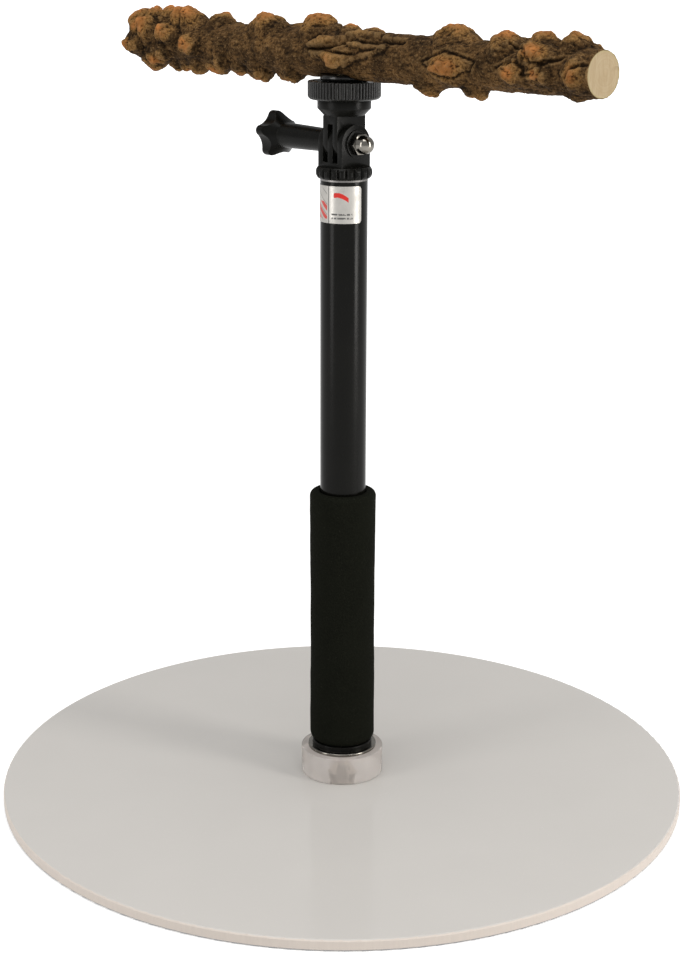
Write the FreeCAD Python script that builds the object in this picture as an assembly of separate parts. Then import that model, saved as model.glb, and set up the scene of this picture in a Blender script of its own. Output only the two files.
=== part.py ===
import FreeCAD, Part
import math
import os

# Parrot play stand: a round base plate, a telescopic pole with a foam grip, a tilting head
# and a thorny natural branch as the perch. Units are millimetres, Z is up, the floor is
# z = 0 and the pole stands on the origin. The branch and the tilt screw lie along X.

# ---------------------------------------------------------------- driving dimensions

# base
PLATE_DIAMETER = 300.0
PLATE_THICKNESS = 5.0
PLATE_EDGE_ROUNDING = 0.8
BOSS_DIAMETER = 36.2
BOSS_HEIGHT = 12.0
BOSS_EDGE_ROUNDING = 0.6
WASHER_DIAMETER = 30.2
WASHER_THICKNESS = 1.2
WASHER_EDGE_ROUNDING = 0.4

# threads are drawn as plain cylinders
LARGE_THREAD_RADIUS = 3.175
SMALL_THREAD_RADIUS = 2.5
BASE_SCREW_LENGTH = 25.0
BASE_SCREW_HEAD_RADIUS = 6.35
BASE_SCREW_HEAD_ANGLE = 82.0
BASE_SCREW_SOCKET = 4.0
BASE_SCREW_SOCKET_DEPTH = 2.5
INSERT_WALL = 1.4

# pole, three telescoping tubes
OUTER_TUBE_RADIUS = 9.75
MID_TUBE_RADIUS = 8.0
INNER_TUBE_RADIUS = 6.3
TUBE_WALL = 0.8
OUTER_TUBE_LENGTH = 246.9
PLUG_RADIUS = 13.2
PLUG_HEIGHT = 2.4
PLUG_EDGE_ROUNDING = 0.5
PLUG_SPIGOT = 14.0
PLUG_INSERT_LENGTH = 10.0
END_RING_HEIGHT = 0.7
GUIDE_BUSH_LENGTH = 15.0

# foam grip and sticker
GRIP_RADIUS = 14.35
GRIP_LENGTH = 114.9
GRIP_TOP_ROUNDING = 2.2
GRIP_FOOT_ROUNDING = 3.0
STICKER_HEIGHT = 15.0
STICKER_THICKNESS = 0.12
STICKER_BELOW_TUBE_END = 1.6
STICKER_FIRST_ANGLE = -172.0
STICKER_SWEEP = 176.0
STICKER_CORNER = 1.5

# twist locks: a cam core on the foot of a tube and a split sleeve round it
LOCK_FLOOR_GAP = 0.4
LOCK_KEEPER_HEIGHT = 1.5
LOCK_SLEEVE_LENGTH = 16.0
LOCK_SLEEVE_SLOT = 1.6
LOCK_FLANGE_HEIGHT = 1.8
LOCK_PLUG_LENGTH = 9.0
MID_LOCK_SHAFT_RADIUS = 4.2
TOP_LOCK_SHAFT_RADIUS = 3.0

# scalloped collar under the head
COLLAR_RADIUS = 11.55
COLLAR_HEIGHT = 4.6
COLLAR_END_RADIUS = 10.6
COLLAR_LOBES = 20
COLLAR_LOBE_DEPTH = 1.2

# tilt joint: three prongs below, two above, on one cross screw
PRONG_THICKNESS = 2.9
PRONG_GAP = 0.1
HUB_RADIUS = 7.5
HUB_HEIGHT_OVER_COLLAR = 9.5
KNUCKLE_SPIGOT = 15.0
NUT_RING_RADIUS = 5.6
NUT_RING_HEIGHT = 1.1
NUT_ACROSS_FLATS = 8.0
NUT_POCKET_DEPTH = 2.5
NUT_HEX_LENGTH = 5.0
NUT_NECK_LENGTH = 1.8
NUT_DOME_RADIUS = 3.7
HEAD_BLOCK_TOP = 10.9
HEAD_CONE_HEIGHT = 2.8
HEAD_NECK_RADIUS = 8.2
HEAD_RIM_RADIUS = 10.9
HEAD_RIM_HEIGHT = 3.3

# thumb screw
KNOB_NECK_LENGTH = 29.2
KNOB_NECK_RADIUS_AT_HEAD = 4.65
KNOB_NECK_RADIUS_AT_STAR = 5.3
STAR_LOBES = 5
STAR_RADIUS = 9.8
STAR_LOBE_RADIUS = 2.3
STAR_VALLEY_RADIUS = 7.3
STAR_THICKNESS = 9.6
STAR_RIM = 4.4
STAR_EDGE_ROUNDING = 1.4
STAR_PHASE = 22.0
SCREW_DEPTH_IN_STAR = 5.0

# lock wheel, pad and stud
WHEEL_RADIUS = 14.8
WHEEL_HEIGHT = 7.3
WHEEL_RIBS = 64
WHEEL_RIB_DEPTH = 0.55
WHEEL_UPPER_ROUNDING = 0.5
WHEEL_LOWER_ROUNDING = 1.8
PAD_RADIUS = 10.0
PAD_THICKNESS = 2.6
STUD_ROOT_BELOW_RIM = 7.2
STUD_DEPTH_IN_BRANCH = 11.0
BRANCH_INSERT_LENGTH = 10.5

# branch: radii of the bark at stations along X, then its thorns
BRANCH_AXIS_OVER_SEAT = 7.3
BRANCH_START = -138.0
BRANCH_END = 137.0
BRANCH_RADII = ((0.0, 8.6), (0.05, 9.2), (0.22, 9.3), (0.40, 9.4),
                (0.64, 9.4), (0.80, 8.9), (0.90, 8.6), (1.0, 8.6))
THORN_ROOT = 0.6
THORN_SINK = 0.75
SKIRT_FOOT = 0.8
SKIRT_HEIGHT = 0.45
# share of the foot radius, share of the height
THORN_OUTLINE = ((0.0, 1.0), (0.22, 0.95), (0.42, 0.79), (0.62, 0.54), (0.82, 0.25), (1.0, 0.0))
# station, angle about X (0 = +Y, 90 = up), height over the bark, foot radius round the branch,
# how much longer the foot is along the branch, lean in degrees
THORNS = (
    # broken end, seen from the front
    (-125.0, 141.0, 6.2, 7.6, 1.0, -12.0), (-129.5, 95.0, 6.4, 6.6, 1.0, -4.0),
    (-119.0, 86.0, 7.0, 7.0, 1.0, 0.0), (-106.0, 160.0, 5.6, 7.0, 1.0, -6.0),
    (-132.0, -176.0, 4.8, 6.6, 1.0, -8.0), (-97.0, 108.0, 8.2, 9.0, 1.0, -28.0),
    (-89.0, -178.0, 4.8, 6.4, 1.0, 0.0), (-112.0, -155.0, 4.2, 7.4, 1.0, -8.0),
    (-127.0, -106.0, 4.8, 7.4, 1.0, -10.0), (-110.0, -102.0, 3.6, 7.0, 1.0, 0.0),
    (-93.0, -108.0, 4.4, 7.8, 1.0, 0.0), (-72.0, -134.0, 4.2, 8.2, 1.0, 0.0),
    (-63.0, -100.0, 2.8, 6.6, 1.3, 0.0), (-81.0, 84.0, 5.2, 7.6, 1.0, 2.0),
    # middle
    (-47.0, 96.0, 6.2, 9.8, 1.6, -6.0), (-48.0, -106.0, 4.4, 7.8, 1.0, 24.0),
    (-28.0, -110.0, 4.4, 7.6, 1.0, 16.0), (-12.0, 92.0, 7.2, 9.0, 1.4, 24.0),
    (4.0, 80.0, 3.6, 5.6, 1.0, 0.0), (15.0, 80.0, 2.3, 5.6, 1.3, 0.0),
    (-3.0, 162.0, 3.0, 7.0, 1.5, -20.0), (6.0, -178.0, 3.6, 7.4, 1.5, -14.0),
    (18.0, 140.0, 1.8, 7.0, 1.6, 10.0), (32.0, 135.0, 1.2, 6.4, 1.6, 0.0),
    # cut end, seen from the front
    (66.0, 92.0, 5.8, 9.6, 1.4, 6.0), (69.0, -178.0, 3.8, 8.0, 1.6, -4.0),
    (53.0, -98.0, 4.6, 6.4, 1.3, 14.0), (78.0, -98.0, 4.2, 6.2, 1.0, 14.0),
    (93.0, 105.0, 4.8, 8.4, 1.0, -4.0), (112.0, 145.0, 5.0, 8.2, 1.4, -8.0),
    (104.0, -175.0, 4.4, 7.6, 1.6, -4.0), (117.0, -172.0, 2.8, 5.0, 1.0, 0.0),
    (111.0, 84.0, 5.6, 7.2, 1.0, 0.0), (123.0, 84.0, 6.6, 7.0, 1.0, 4.0),
    (131.0, 178.0, 4.0, 6.6, 1.3, 0.0), (127.0, -100.0, 1.8, 6.4, 1.3, 0.0),
    # back
    (-128.0, 25.0, 5.6, 6.8, 1.0, -8.0), (-121.0, -40.0, 4.8, 7.0, 1.0, 0.0),
    (-106.0, 45.0, 6.0, 7.6, 1.0, -10.0), (-98.0, -12.0, 5.2, 7.2, 1.0, 0.0),
    (-84.0, -52.0, 4.2, 6.6, 1.0, 0.0), (-76.0, 28.0, 5.0, 7.4, 1.3, 8.0),
    (-58.0, -20.0, 4.4, 7.0, 1.3, 0.0), (-36.0, 30.0, 5.4, 8.6, 1.4, -12.0),
    (-33.0, -48.0, 4.2, 6.6, 1.0, 0.0), (14.0, 22.0, 4.6, 8.0, 1.4, 10.0),
    (38.0, -30.0, 4.4, 7.0, 1.3, 0.0), (49.5, 34.0, 5.0, 7.8, 1.4, -5.0),
    (74.0, 0.0, 4.8, 7.4, 1.4, 0.0), (88.0, -50.0, 3.6, 6.2, 1.0, 0.0),
    (94.0, 40.0, 4.8, 6.8, 1.0, 8.0), (112.0, 8.0, 5.0, 7.4, 1.3, 0.0),
    (127.0, 42.0, 4.8, 6.4, 1.0, 0.0), (125.0, -42.0, 4.0, 6.2, 1.0, 0.0))

# clearances, and how far a cutter runs past a face
FIT = 0.05
SLIDE = 0.1
RUNNING_GAP = 0.2
CUT_PAST = 1.0

# ---------------------------------------------------------------- places that follow

UP = FreeCAD.Vector(0, 0, 1)
ALONG_X = FreeCAD.Vector(1, 0, 0)
ALONG_Y = FreeCAD.Vector(0, 1, 0)
ORIGIN = FreeCAD.Vector(0, 0, 0)

plate_top = PLATE_THICKNESS
boss_top = plate_top + BOSS_HEIGHT
washer_top = boss_top + WASHER_THICKNESS
plug_top = washer_top + PLUG_HEIGHT
spigot_top = plug_top + PLUG_SPIGOT
outer_tube_top = plug_top + OUTER_TUBE_LENGTH
ring_top = outer_tube_top + END_RING_HEIGHT
collar_bottom = ring_top + RUNNING_GAP
collar_top = collar_bottom + COLLAR_HEIGHT
tilt_axis = collar_top + HUB_HEIGHT_OVER_COLLAR

outer_bore = OUTER_TUBE_RADIUS - TUBE_WALL
mid_bore = MID_TUBE_RADIUS - TUBE_WALL
inner_bore = INNER_TUBE_RADIUS - TUBE_WALL
insert_bore = LARGE_THREAD_RADIUS + FIT
insert_radius = insert_bore + INSERT_WALL


def lock_flange_top(floor):
    """Height of the face on a lock's core that its tube stands on."""
    sleeve_room = LOCK_SLEEVE_LENGTH + 2 * RUNNING_GAP
    return floor + LOCK_KEEPER_HEIGHT + sleeve_room + LOCK_FLANGE_HEIGHT


mid_lock_floor = spigot_top + LOCK_FLOOR_GAP
mid_tube_bottom = lock_flange_top(mid_lock_floor)
top_lock_floor = mid_tube_bottom + LOCK_PLUG_LENGTH + LOCK_FLOOR_GAP
inner_tube_bottom = lock_flange_top(top_lock_floor)

middle_prong = PRONG_THICKNESS / 2
upper_prong_start = middle_prong + PRONG_GAP
upper_prong_end = upper_prong_start + PRONG_THICKNESS
outer_prong_start = upper_prong_end + PRONG_GAP
outer_prong_end = outer_prong_start + PRONG_THICKNESS

head_neck_bottom = tilt_axis + HEAD_BLOCK_TOP
head_rim_bottom = head_neck_bottom + HEAD_CONE_HEIGHT
head_top = head_rim_bottom + HEAD_RIM_HEIGHT
wheel_bottom = head_top + RUNNING_GAP
wheel_top = wheel_bottom + WHEEL_HEIGHT
pad_top = wheel_top + PAD_THICKNESS
branch_seat = pad_top + RUNNING_GAP
branch_axis = branch_seat + BRANCH_AXIS_OVER_SEAT

# ---------------------------------------------------------------- shapes


def disc(radius, bottom, top):
    """A cylinder about Z."""
    return Part.makeCylinder(radius, top - bottom, FreeCAD.Vector(0, 0, bottom))


def pipe(outer, inner, bottom, top):
    """A round tube about Z."""
    return disc(outer, bottom, top).cut(disc(inner, bottom - CUT_PAST, top + CUT_PAST))


def cross_rod(radius, start, end):
    """A cylinder on the tilt axis, from one X to another."""
    return Part.makeCylinder(radius, end - start, FreeCAD.Vector(start, 0, tilt_axis), ALONG_X)


def soften(shape, rounding, radius, height):
    """Rounds the edge that runs round Z at that radius and height."""
    chosen = []
    for edge in shape.Edges:
        if not isinstance(edge.Curve, Part.Circle):
            continue
        same_radius = abs(edge.Curve.Radius - radius) < 1e-4
        if same_radius and abs(edge.Curve.Center.z - height) < 1e-4:
            chosen.append(edge)
    return shape.makeFillet(rounding, chosen)


def polar(radius, degrees):
    """A point in the XY plane."""
    angle = math.radians(degrees)
    return FreeCAD.Vector(radius * math.cos(angle), radius * math.sin(angle), 0)


def lobed_face(lobes, tip, depth):
    """A disc whose rim is a ring of round lobes, in the XY plane."""
    step = 360.0 / lobes
    arcs = []
    for index in range(lobes):
        start = polar(tip - depth, index * step)
        middle = polar(tip, (index + 0.5) * step)
        end = polar(tip - depth, (index + 1) * step)
        arcs.append(Part.Arc(start, middle, end).toShape())
    return Part.Face(Part.Wire(arcs))


def hexagon_bar(across_flats, start, end):
    """A hexagonal bar on the tilt axis."""
    corner_radius = across_flats / math.sqrt(3.0)
    corners = []
    for index in range(7):
        angle = math.radians(60.0 * index)
        side = corner_radius * math.cos(angle)
        rise = corner_radius * math.sin(angle)
        corners.append(FreeCAD.Vector(start, side, tilt_axis + rise))
    face = Part.Face(Part.makePolygon(corners))
    return face.extrude(ALONG_X * (end - start))


def single(shape):
    """The one solid that a boolean result holds."""
    cleaned = shape.removeSplitter()
    return cleaned.Solids[0] if len(cleaned.Solids) == 1 else cleaned


# ---------------------------------------------------------------- base


def base_plate():
    plate = disc(PLATE_DIAMETER / 2, 0, plate_top)
    plate = soften(plate, PLATE_EDGE_ROUNDING, PLATE_DIAMETER / 2, plate_top)
    return soften(plate, PLATE_EDGE_ROUNDING, PLATE_DIAMETER / 2, 0)


def screw_head_height():
    flare = BASE_SCREW_HEAD_RADIUS - LARGE_THREAD_RADIUS
    return flare / math.tan(math.radians(BASE_SCREW_HEAD_ANGLE / 2))


def clear_boss():
    boss = disc(BOSS_DIAMETER / 2, plate_top, boss_top)
    boss = soften(boss, BOSS_EDGE_ROUNDING, BOSS_DIAMETER / 2, boss_top)
    wide = BASE_SCREW_HEAD_RADIUS + FIT
    narrow = LARGE_THREAD_RADIUS + FIT
    sink = Part.makeCone(wide, narrow, screw_head_height(), FreeCAD.Vector(0, 0, plate_top))
    return boss.cut(sink).cut(disc(narrow, plate_top, boss_top + CUT_PAST))


def base_screw():
    foot = FreeCAD.Vector(0, 0, plate_top)
    head = Part.makeCone(BASE_SCREW_HEAD_RADIUS, LARGE_THREAD_RADIUS, screw_head_height(), foot)
    shank = disc(LARGE_THREAD_RADIUS, plate_top, plate_top + BASE_SCREW_LENGTH)
    corners = [polar(BASE_SCREW_SOCKET / math.sqrt(3.0), 60.0 * index) for index in range(7)]
    socket = Part.Face(Part.makePolygon(corners)).extrude(UP * BASE_SCREW_SOCKET_DEPTH)
    socket.translate(foot)
    return single(head.fuse(shank).cut(socket))


def steel_washer():
    washer = disc(WASHER_DIAMETER / 2, boss_top, washer_top)
    washer = soften(washer, WASHER_EDGE_ROUNDING, WASHER_DIAMETER / 2, washer_top)
    return washer.cut(disc(LARGE_THREAD_RADIUS + SLIDE, boss_top, washer_top + CUT_PAST))


# ---------------------------------------------------------------- pole


def plug_insert_bottom():
    return plug_top - FIT


def pole_end_plug():
    flange = disc(PLUG_RADIUS, washer_top, plug_top)
    flange = soften(flange, PLUG_EDGE_ROUNDING, PLUG_RADIUS, plug_top)
    spigot = disc(outer_bore - FIT, plug_top, spigot_top)
    plug = flange.fuse(spigot)
    plug = plug.cut(disc(LARGE_THREAD_RADIUS + SLIDE, washer_top, spigot_top))
    return single(plug.cut(disc(insert_radius + FIT, plug_insert_bottom(),
                                spigot_top + CUT_PAST)))


def plug_insert():
    bottom = plug_insert_bottom()
    return pipe(insert_radius, insert_bore, bottom, bottom + PLUG_INSERT_LENGTH)


def outer_tube():
    return pipe(OUTER_TUBE_RADIUS, outer_bore, plug_top, outer_tube_top)


def tube_end_ring():
    return pipe(OUTER_TUBE_RADIUS, MID_TUBE_RADIUS + SLIDE, outer_tube_top, ring_top)


def outer_guide_bush():
    bottom = outer_tube_top - GUIDE_BUSH_LENGTH
    return pipe(outer_bore - FIT, MID_TUBE_RADIUS + SLIDE, bottom, outer_tube_top)


def mid_guide_bush():
    return pipe(mid_bore - FIT, INNER_TUBE_RADIUS + SLIDE, ring_top - GUIDE_BUSH_LENGTH, ring_top)


def foam_grip():
    top = plug_top + GRIP_LENGTH
    grip = pipe(GRIP_RADIUS, OUTER_TUBE_RADIUS + FIT, plug_top, top)
    grip = soften(grip, GRIP_TOP_ROUNDING, GRIP_RADIUS, top)
    return soften(grip, GRIP_FOOT_ROUNDING, GRIP_RADIUS, plug_top)


def info_sticker():
    inner = OUTER_TUBE_RADIUS + FIT
    outer = inner + STICKER_THICKNESS
    top = outer_tube_top - STICKER_BELOW_TUBE_END
    bottom = top - STICKER_HEIGHT
    reach = 2 * outer
    middle = polar(reach, STICKER_FIRST_ANGLE + STICKER_SWEEP / 2)
    start = polar(reach, STICKER_FIRST_ANGLE)
    end = polar(reach, STICKER_FIRST_ANGLE + STICKER_SWEEP)
    edges = [Part.LineSegment(ORIGIN, start).toShape(), Part.Arc(start, middle, end).toShape(),
             Part.LineSegment(end, ORIGIN).toShape()]
    wedge = Part.Face(Part.Wire(edges)).extrude(UP * STICKER_HEIGHT)
    wedge.translate(UP * bottom)
    foil = single(pipe(outer, inner, bottom, top).common(wedge))
    corners = [edge for edge in foil.Edges if abs(edge.Length - STICKER_THICKNESS) < 1e-4]
    return foil.makeFillet(STICKER_CORNER, corners)


def lock_core(floor, shaft, tube_radius, bore, keeper):
    """A cam core: keeper disc, shaft, flange as wide as its tube, and a plug into the tube."""
    flange_top = lock_flange_top(floor)
    flange_bottom = flange_top - LOCK_FLANGE_HEIGHT
    core = disc(keeper, floor, floor + LOCK_KEEPER_HEIGHT)
    core = core.fuse(disc(shaft, floor, flange_bottom))
    core = core.fuse(disc(tube_radius, flange_bottom, flange_top))
    return single(core.fuse(disc(bore - FIT, flange_bottom, flange_top + LOCK_PLUG_LENGTH)))


def lock_sleeve(floor, shaft, outer):
    """A split sleeve that turns on the core's shaft."""
    bottom = floor + LOCK_KEEPER_HEIGHT + RUNNING_GAP
    sleeve = pipe(outer, shaft + FIT, bottom, bottom + LOCK_SLEEVE_LENGTH)
    corner = FreeCAD.Vector(0, -LOCK_SLEEVE_SLOT / 2, bottom)
    slot = Part.makeBox(outer + CUT_PAST, LOCK_SLEEVE_SLOT, LOCK_SLEEVE_LENGTH, corner)
    return single(sleeve.cut(slot))


def mid_lock_core():
    return lock_core(mid_lock_floor, MID_LOCK_SHAFT_RADIUS, MID_TUBE_RADIUS, mid_bore,
                     outer_bore - 2 * RUNNING_GAP)


def top_lock_core():
    return lock_core(top_lock_floor, TOP_LOCK_SHAFT_RADIUS, INNER_TUBE_RADIUS, inner_bore,
                     mid_bore - 2 * RUNNING_GAP)


def mid_lock_sleeve():
    return lock_sleeve(mid_lock_floor, MID_LOCK_SHAFT_RADIUS, outer_bore - RUNNING_GAP)


def top_lock_sleeve():
    return lock_sleeve(top_lock_floor, TOP_LOCK_SHAFT_RADIUS, mid_bore - RUNNING_GAP)


def mid_tube():
    return pipe(MID_TUBE_RADIUS, mid_bore, mid_tube_bottom, ring_top)


def inner_tube():
    return pipe(INNER_TUBE_RADIUS, inner_bore, inner_tube_bottom, collar_top)


# ---------------------------------------------------------------- head


def twist_collar():
    lobes = lobed_face(COLLAR_LOBES, COLLAR_RADIUS, COLLAR_LOBE_DEPTH)
    lobes = lobes.extrude(UP * COLLAR_HEIGHT)
    lobes.translate(UP * collar_bottom)
    low = FreeCAD.Vector(COLLAR_END_RADIUS, 0, collar_bottom)
    middle = FreeCAD.Vector(COLLAR_RADIUS + FIT, 0, collar_bottom + COLLAR_HEIGHT / 2)
    high = FreeCAD.Vector(COLLAR_END_RADIUS, 0, collar_top)
    inside_high = FreeCAD.Vector(INNER_TUBE_RADIUS + FIT, 0, collar_top)
    inside_low = FreeCAD.Vector(INNER_TUBE_RADIUS + FIT, 0, collar_bottom)
    edges = [Part.Arc(low, middle, high).toShape(),
             Part.LineSegment(high, inside_high).toShape(),
             Part.LineSegment(inside_high, inside_low).toShape(),
             Part.LineSegment(inside_low, low).toShape()]
    barrel = Part.Face(Part.Wire(edges)).revolve(ORIGIN, UP, 360)
    return single(lobes.common(barrel))


def prong(start, end, far):
    """One prong on the tilt axis: a round eye and a block from it to the height far."""
    eye = cross_rod(HUB_RADIUS, start, end)
    low = min(tilt_axis, far)
    corner = FreeCAD.Vector(start, -HUB_RADIUS, low)
    block = Part.makeBox(end - start, 2 * HUB_RADIUS, abs(far - tilt_axis), corner)
    return eye.fuse(block)


def lower_knuckle():
    slot_floor = tilt_axis - HUB_RADIUS - RUNNING_GAP
    corner = FreeCAD.Vector(-outer_prong_end, -HUB_RADIUS, collar_top)
    body = Part.makeBox(2 * outer_prong_end, 2 * HUB_RADIUS, slot_floor - collar_top, corner)
    for start, end in ((-outer_prong_end, -outer_prong_start), (-middle_prong, middle_prong),
                       (outer_prong_start, outer_prong_end)):
        body = body.fuse(prong(start, end, collar_top))
    ring_end = outer_prong_end + NUT_RING_HEIGHT
    body = body.fuse(cross_rod(NUT_RING_RADIUS, outer_prong_end, ring_end))
    body = body.fuse(disc(inner_bore - FIT, collar_top - KNUCKLE_SPIGOT, collar_top))
    pocket = hexagon_bar(NUT_ACROSS_FLATS + 2 * FIT, ring_end - NUT_POCKET_DEPTH,
                         ring_end + CUT_PAST)
    hole = cross_rod(SMALL_THREAD_RADIUS + FIT, -outer_prong_end - CUT_PAST, ring_end)
    return single(body.cut(pocket).cut(hole))


def nut_start():
    return outer_prong_end + NUT_RING_HEIGHT - NUT_POCKET_DEPTH


def acorn_nut():
    start = nut_start()
    hexagon = hexagon_bar(NUT_ACROSS_FLATS, start, start + NUT_HEX_LENGTH)
    skirt = start + NUT_HEX_LENGTH
    dome_start = skirt + NUT_NECK_LENGTH
    neck = cross_rod(NUT_DOME_RADIUS, skirt, dome_start)
    dome = Part.makeSphere(NUT_DOME_RADIUS, FreeCAD.Vector(dome_start, 0, tilt_axis))
    bore = cross_rod(SMALL_THREAD_RADIUS + FIT, start - CUT_PAST, skirt + FIT)
    return single(hexagon.fuse(neck).fuse(dome).cut(bore))


def knob_start():
    return -outer_prong_end - RUNNING_GAP


def star_plane():
    return knob_start() - KNOB_NECK_LENGTH


def clamp_screw():
    return cross_rod(SMALL_THREAD_RADIUS, star_plane() - SCREW_DEPTH_IN_STAR,
                     nut_start() + NUT_HEX_LENGTH - RUNNING_GAP)


def star_face():
    """A star whose round lobes and round valleys meet smoothly, in the XY plane."""
    reach = STAR_RADIUS - STAR_LOBE_RADIUS
    half_step = math.radians(180.0 / STAR_LOBES)
    lean = reach * math.cos(half_step)
    above = (STAR_VALLEY_RADIUS ** 2 - 2 * lean * STAR_VALLEY_RADIUS
             + reach ** 2 - STAR_LOBE_RADIUS ** 2)
    valley_arc = above / (2 * (STAR_LOBE_RADIUS + lean - STAR_VALLEY_RADIUS))
    share = STAR_LOBE_RADIUS / (STAR_LOBE_RADIUS + valley_arc)
    joins = []
    for index in range(2 * STAR_LOBES):
        lobe_turn = STAR_PHASE + 360.0 / STAR_LOBES * ((index + 1) // 2)
        valley_turn = STAR_PHASE + 360.0 / STAR_LOBES * (index // 2 + 0.5)
        lobe = polar(reach, lobe_turn)
        valley = polar(STAR_VALLEY_RADIUS + valley_arc, valley_turn)
        joins.append(lobe + (valley - lobe) * share)
    arcs = []
    for index in range(STAR_LOBES):
        turn = STAR_PHASE + 360.0 / STAR_LOBES * index
        before = joins[2 * index - 1]
        after = joins[2 * index]
        beyond = joins[2 * index + 1]
        arcs.append(Part.Arc(before, polar(STAR_RADIUS, turn), after).toShape())
        valley = polar(STAR_VALLEY_RADIUS, turn + 180.0 / STAR_LOBES)
        arcs.append(Part.Arc(after, valley, beyond).toShape())
    return Part.Face(Part.Wire(arcs))


def star_knob():
    star = star_face().extrude(UP * STAR_THICKNESS)
    rims = [edge for edge in star.Edges if abs(edge.CenterOfMass.z) < 1e-6]
    star = star.makeFillet(STAR_EDGE_ROUNDING, rims)
    shoulder = Part.makeCone(STAR_RADIUS + FIT, KNOB_NECK_RADIUS_AT_STAR,
                             STAR_THICKNESS - STAR_RIM, FreeCAD.Vector(0, 0, STAR_RIM))
    star = star.common(disc(STAR_RADIUS + FIT, 0, STAR_RIM).fuse(shoulder))
    neck = Part.makeCone(KNOB_NECK_RADIUS_AT_STAR, KNOB_NECK_RADIUS_AT_HEAD, KNOB_NECK_LENGTH,
                         FreeCAD.Vector(0, 0, STAR_THICKNESS))
    hole = disc(SMALL_THREAD_RADIUS + FIT, STAR_THICKNESS - SCREW_DEPTH_IN_STAR,
                STAR_THICKNESS + KNOB_NECK_LENGTH + CUT_PAST)
    knob = single(star.fuse(neck).cut(hole))
    # local X, Y, Z become Y, Z, X of the stand, with the star at the far -X end
    matrix = FreeCAD.Matrix(0, 0, 1, star_plane() - STAR_THICKNESS,
                            1, 0, 0, 0,
                            0, 1, 0, tilt_axis,
                            0, 0, 0, 1)
    knob.transformShape(matrix)
    return knob


def upper_knuckle():
    slot_top = tilt_axis + HUB_RADIUS + RUNNING_GAP
    corner = FreeCAD.Vector(-upper_prong_end, -HUB_RADIUS, slot_top)
    body = Part.makeBox(2 * upper_prong_end, 2 * HUB_RADIUS, head_neck_bottom - slot_top, corner)
    for start, end in ((-upper_prong_end, -upper_prong_start),
                       (upper_prong_start, upper_prong_end)):
        body = body.fuse(prong(start, end, slot_top))
    cone = Part.makeCone(HEAD_NECK_RADIUS, HEAD_RIM_RADIUS, HEAD_CONE_HEIGHT,
                         FreeCAD.Vector(0, 0, head_neck_bottom))
    body = body.fuse(cone).fuse(disc(HEAD_RIM_RADIUS, head_rim_bottom, head_top))
    hole = cross_rod(SMALL_THREAD_RADIUS + FIT, -outer_prong_end, outer_prong_end)
    socket = disc(LARGE_THREAD_RADIUS + FIT, head_top - STUD_ROOT_BELOW_RIM,
                  head_top + CUT_PAST)
    return single(body.cut(hole).cut(socket))


def mount_stud():
    return disc(LARGE_THREAD_RADIUS, head_top - STUD_ROOT_BELOW_RIM,
                branch_seat + STUD_DEPTH_IN_BRANCH)


def lock_wheel():
    ribs = lobed_face(WHEEL_RIBS, WHEEL_RADIUS, WHEEL_RIB_DEPTH).extrude(UP * WHEEL_HEIGHT)
    ribs.translate(UP * wheel_bottom)
    rim = WHEEL_RADIUS + FIT
    blank = disc(rim, wheel_bottom, wheel_top)
    blank = soften(blank, WHEEL_LOWER_ROUNDING, rim, wheel_bottom)
    blank = soften(blank, WHEEL_UPPER_ROUNDING, rim, wheel_top)
    bore = disc(insert_radius + FIT, wheel_bottom - CUT_PAST, wheel_top + CUT_PAST)
    return single(ribs.common(blank).cut(bore))


def wheel_insert():
    return pipe(insert_radius, insert_bore, wheel_bottom, wheel_top)


def rubber_pad():
    return pipe(PAD_RADIUS, LARGE_THREAD_RADIUS + RUNNING_GAP, wheel_top, pad_top)


# ---------------------------------------------------------------- branch


def bark_radius(station):
    """Radius of the bark at a place along X, between the listed radii."""
    share = (station - BRANCH_START) / (BRANCH_END - BRANCH_START)
    for (low, low_radius), (high, high_radius) in zip(BRANCH_RADII, BRANCH_RADII[1:]):
        if share <= high:
            step = (share - low) / (high - low)
            return low_radius + (high_radius - low_radius) * step
    return BRANCH_RADII[-1][1]


def bare_branch():
    length = BRANCH_END - BRANCH_START
    points = [FreeCAD.Vector(BRANCH_START + share * length, radius, 0)
              for share, radius in BRANCH_RADII]
    curve = Part.BSplineCurve()
    curve.interpolate(points)
    start = FreeCAD.Vector(BRANCH_START, 0, 0)
    end = FreeCAD.Vector(BRANCH_END, 0, 0)
    edges = [Part.LineSegment(start, points[0]).toShape(), curve.toShape(),
             Part.LineSegment(points[-1], end).toShape(), Part.LineSegment(end, start).toShape()]
    return Part.Face(Part.Wire(edges)).revolve(ORIGIN, ALONG_X, 360)


def thorn(station, angle, height, foot, lean):
    """A blunt thorn with a flared foot that is rooted under the bark."""
    bark = bark_radius(station)
    drop = bark - math.sqrt(max(bark ** 2 - foot ** 2, 0.0))
    root = THORN_SINK * drop + THORN_ROOT
    points = [FreeCAD.Vector(foot * across, 0, (height + root) * up - root)
              for across, up in THORN_OUTLINE]
    flank = Part.BSplineCurve()
    flank.interpolate(points)
    low = FreeCAD.Vector(0, 0, -root)
    edges = [flank.toShape(), Part.LineSegment(points[-1], low).toShape(),
             Part.LineSegment(low, points[0]).toShape()]
    solid = Part.Face(Part.Wire(edges)).revolve(ORIGIN, UP, 360)
    solid.rotate(ORIGIN, ALONG_Y, lean)
    solid.translate(UP * bark)
    solid.rotate(ORIGIN, ALONG_X, angle - 90.0)
    solid.translate(ALONG_X * station)
    return solid


def thorn_with_skirts(station, angle, height, foot, stretch, lean):
    """A thorn, with a low mound on each side of it where its foot is long."""
    mounds = [thorn(station, angle, height, foot, lean)]
    if stretch > 1.0:
        for side in (-1, 1):
            place = station + side * foot * (stretch - SKIRT_FOOT)
            mounds.append(thorn(place, angle, SKIRT_HEIGHT * height, SKIRT_FOOT * foot, 0))
    return mounds


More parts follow.
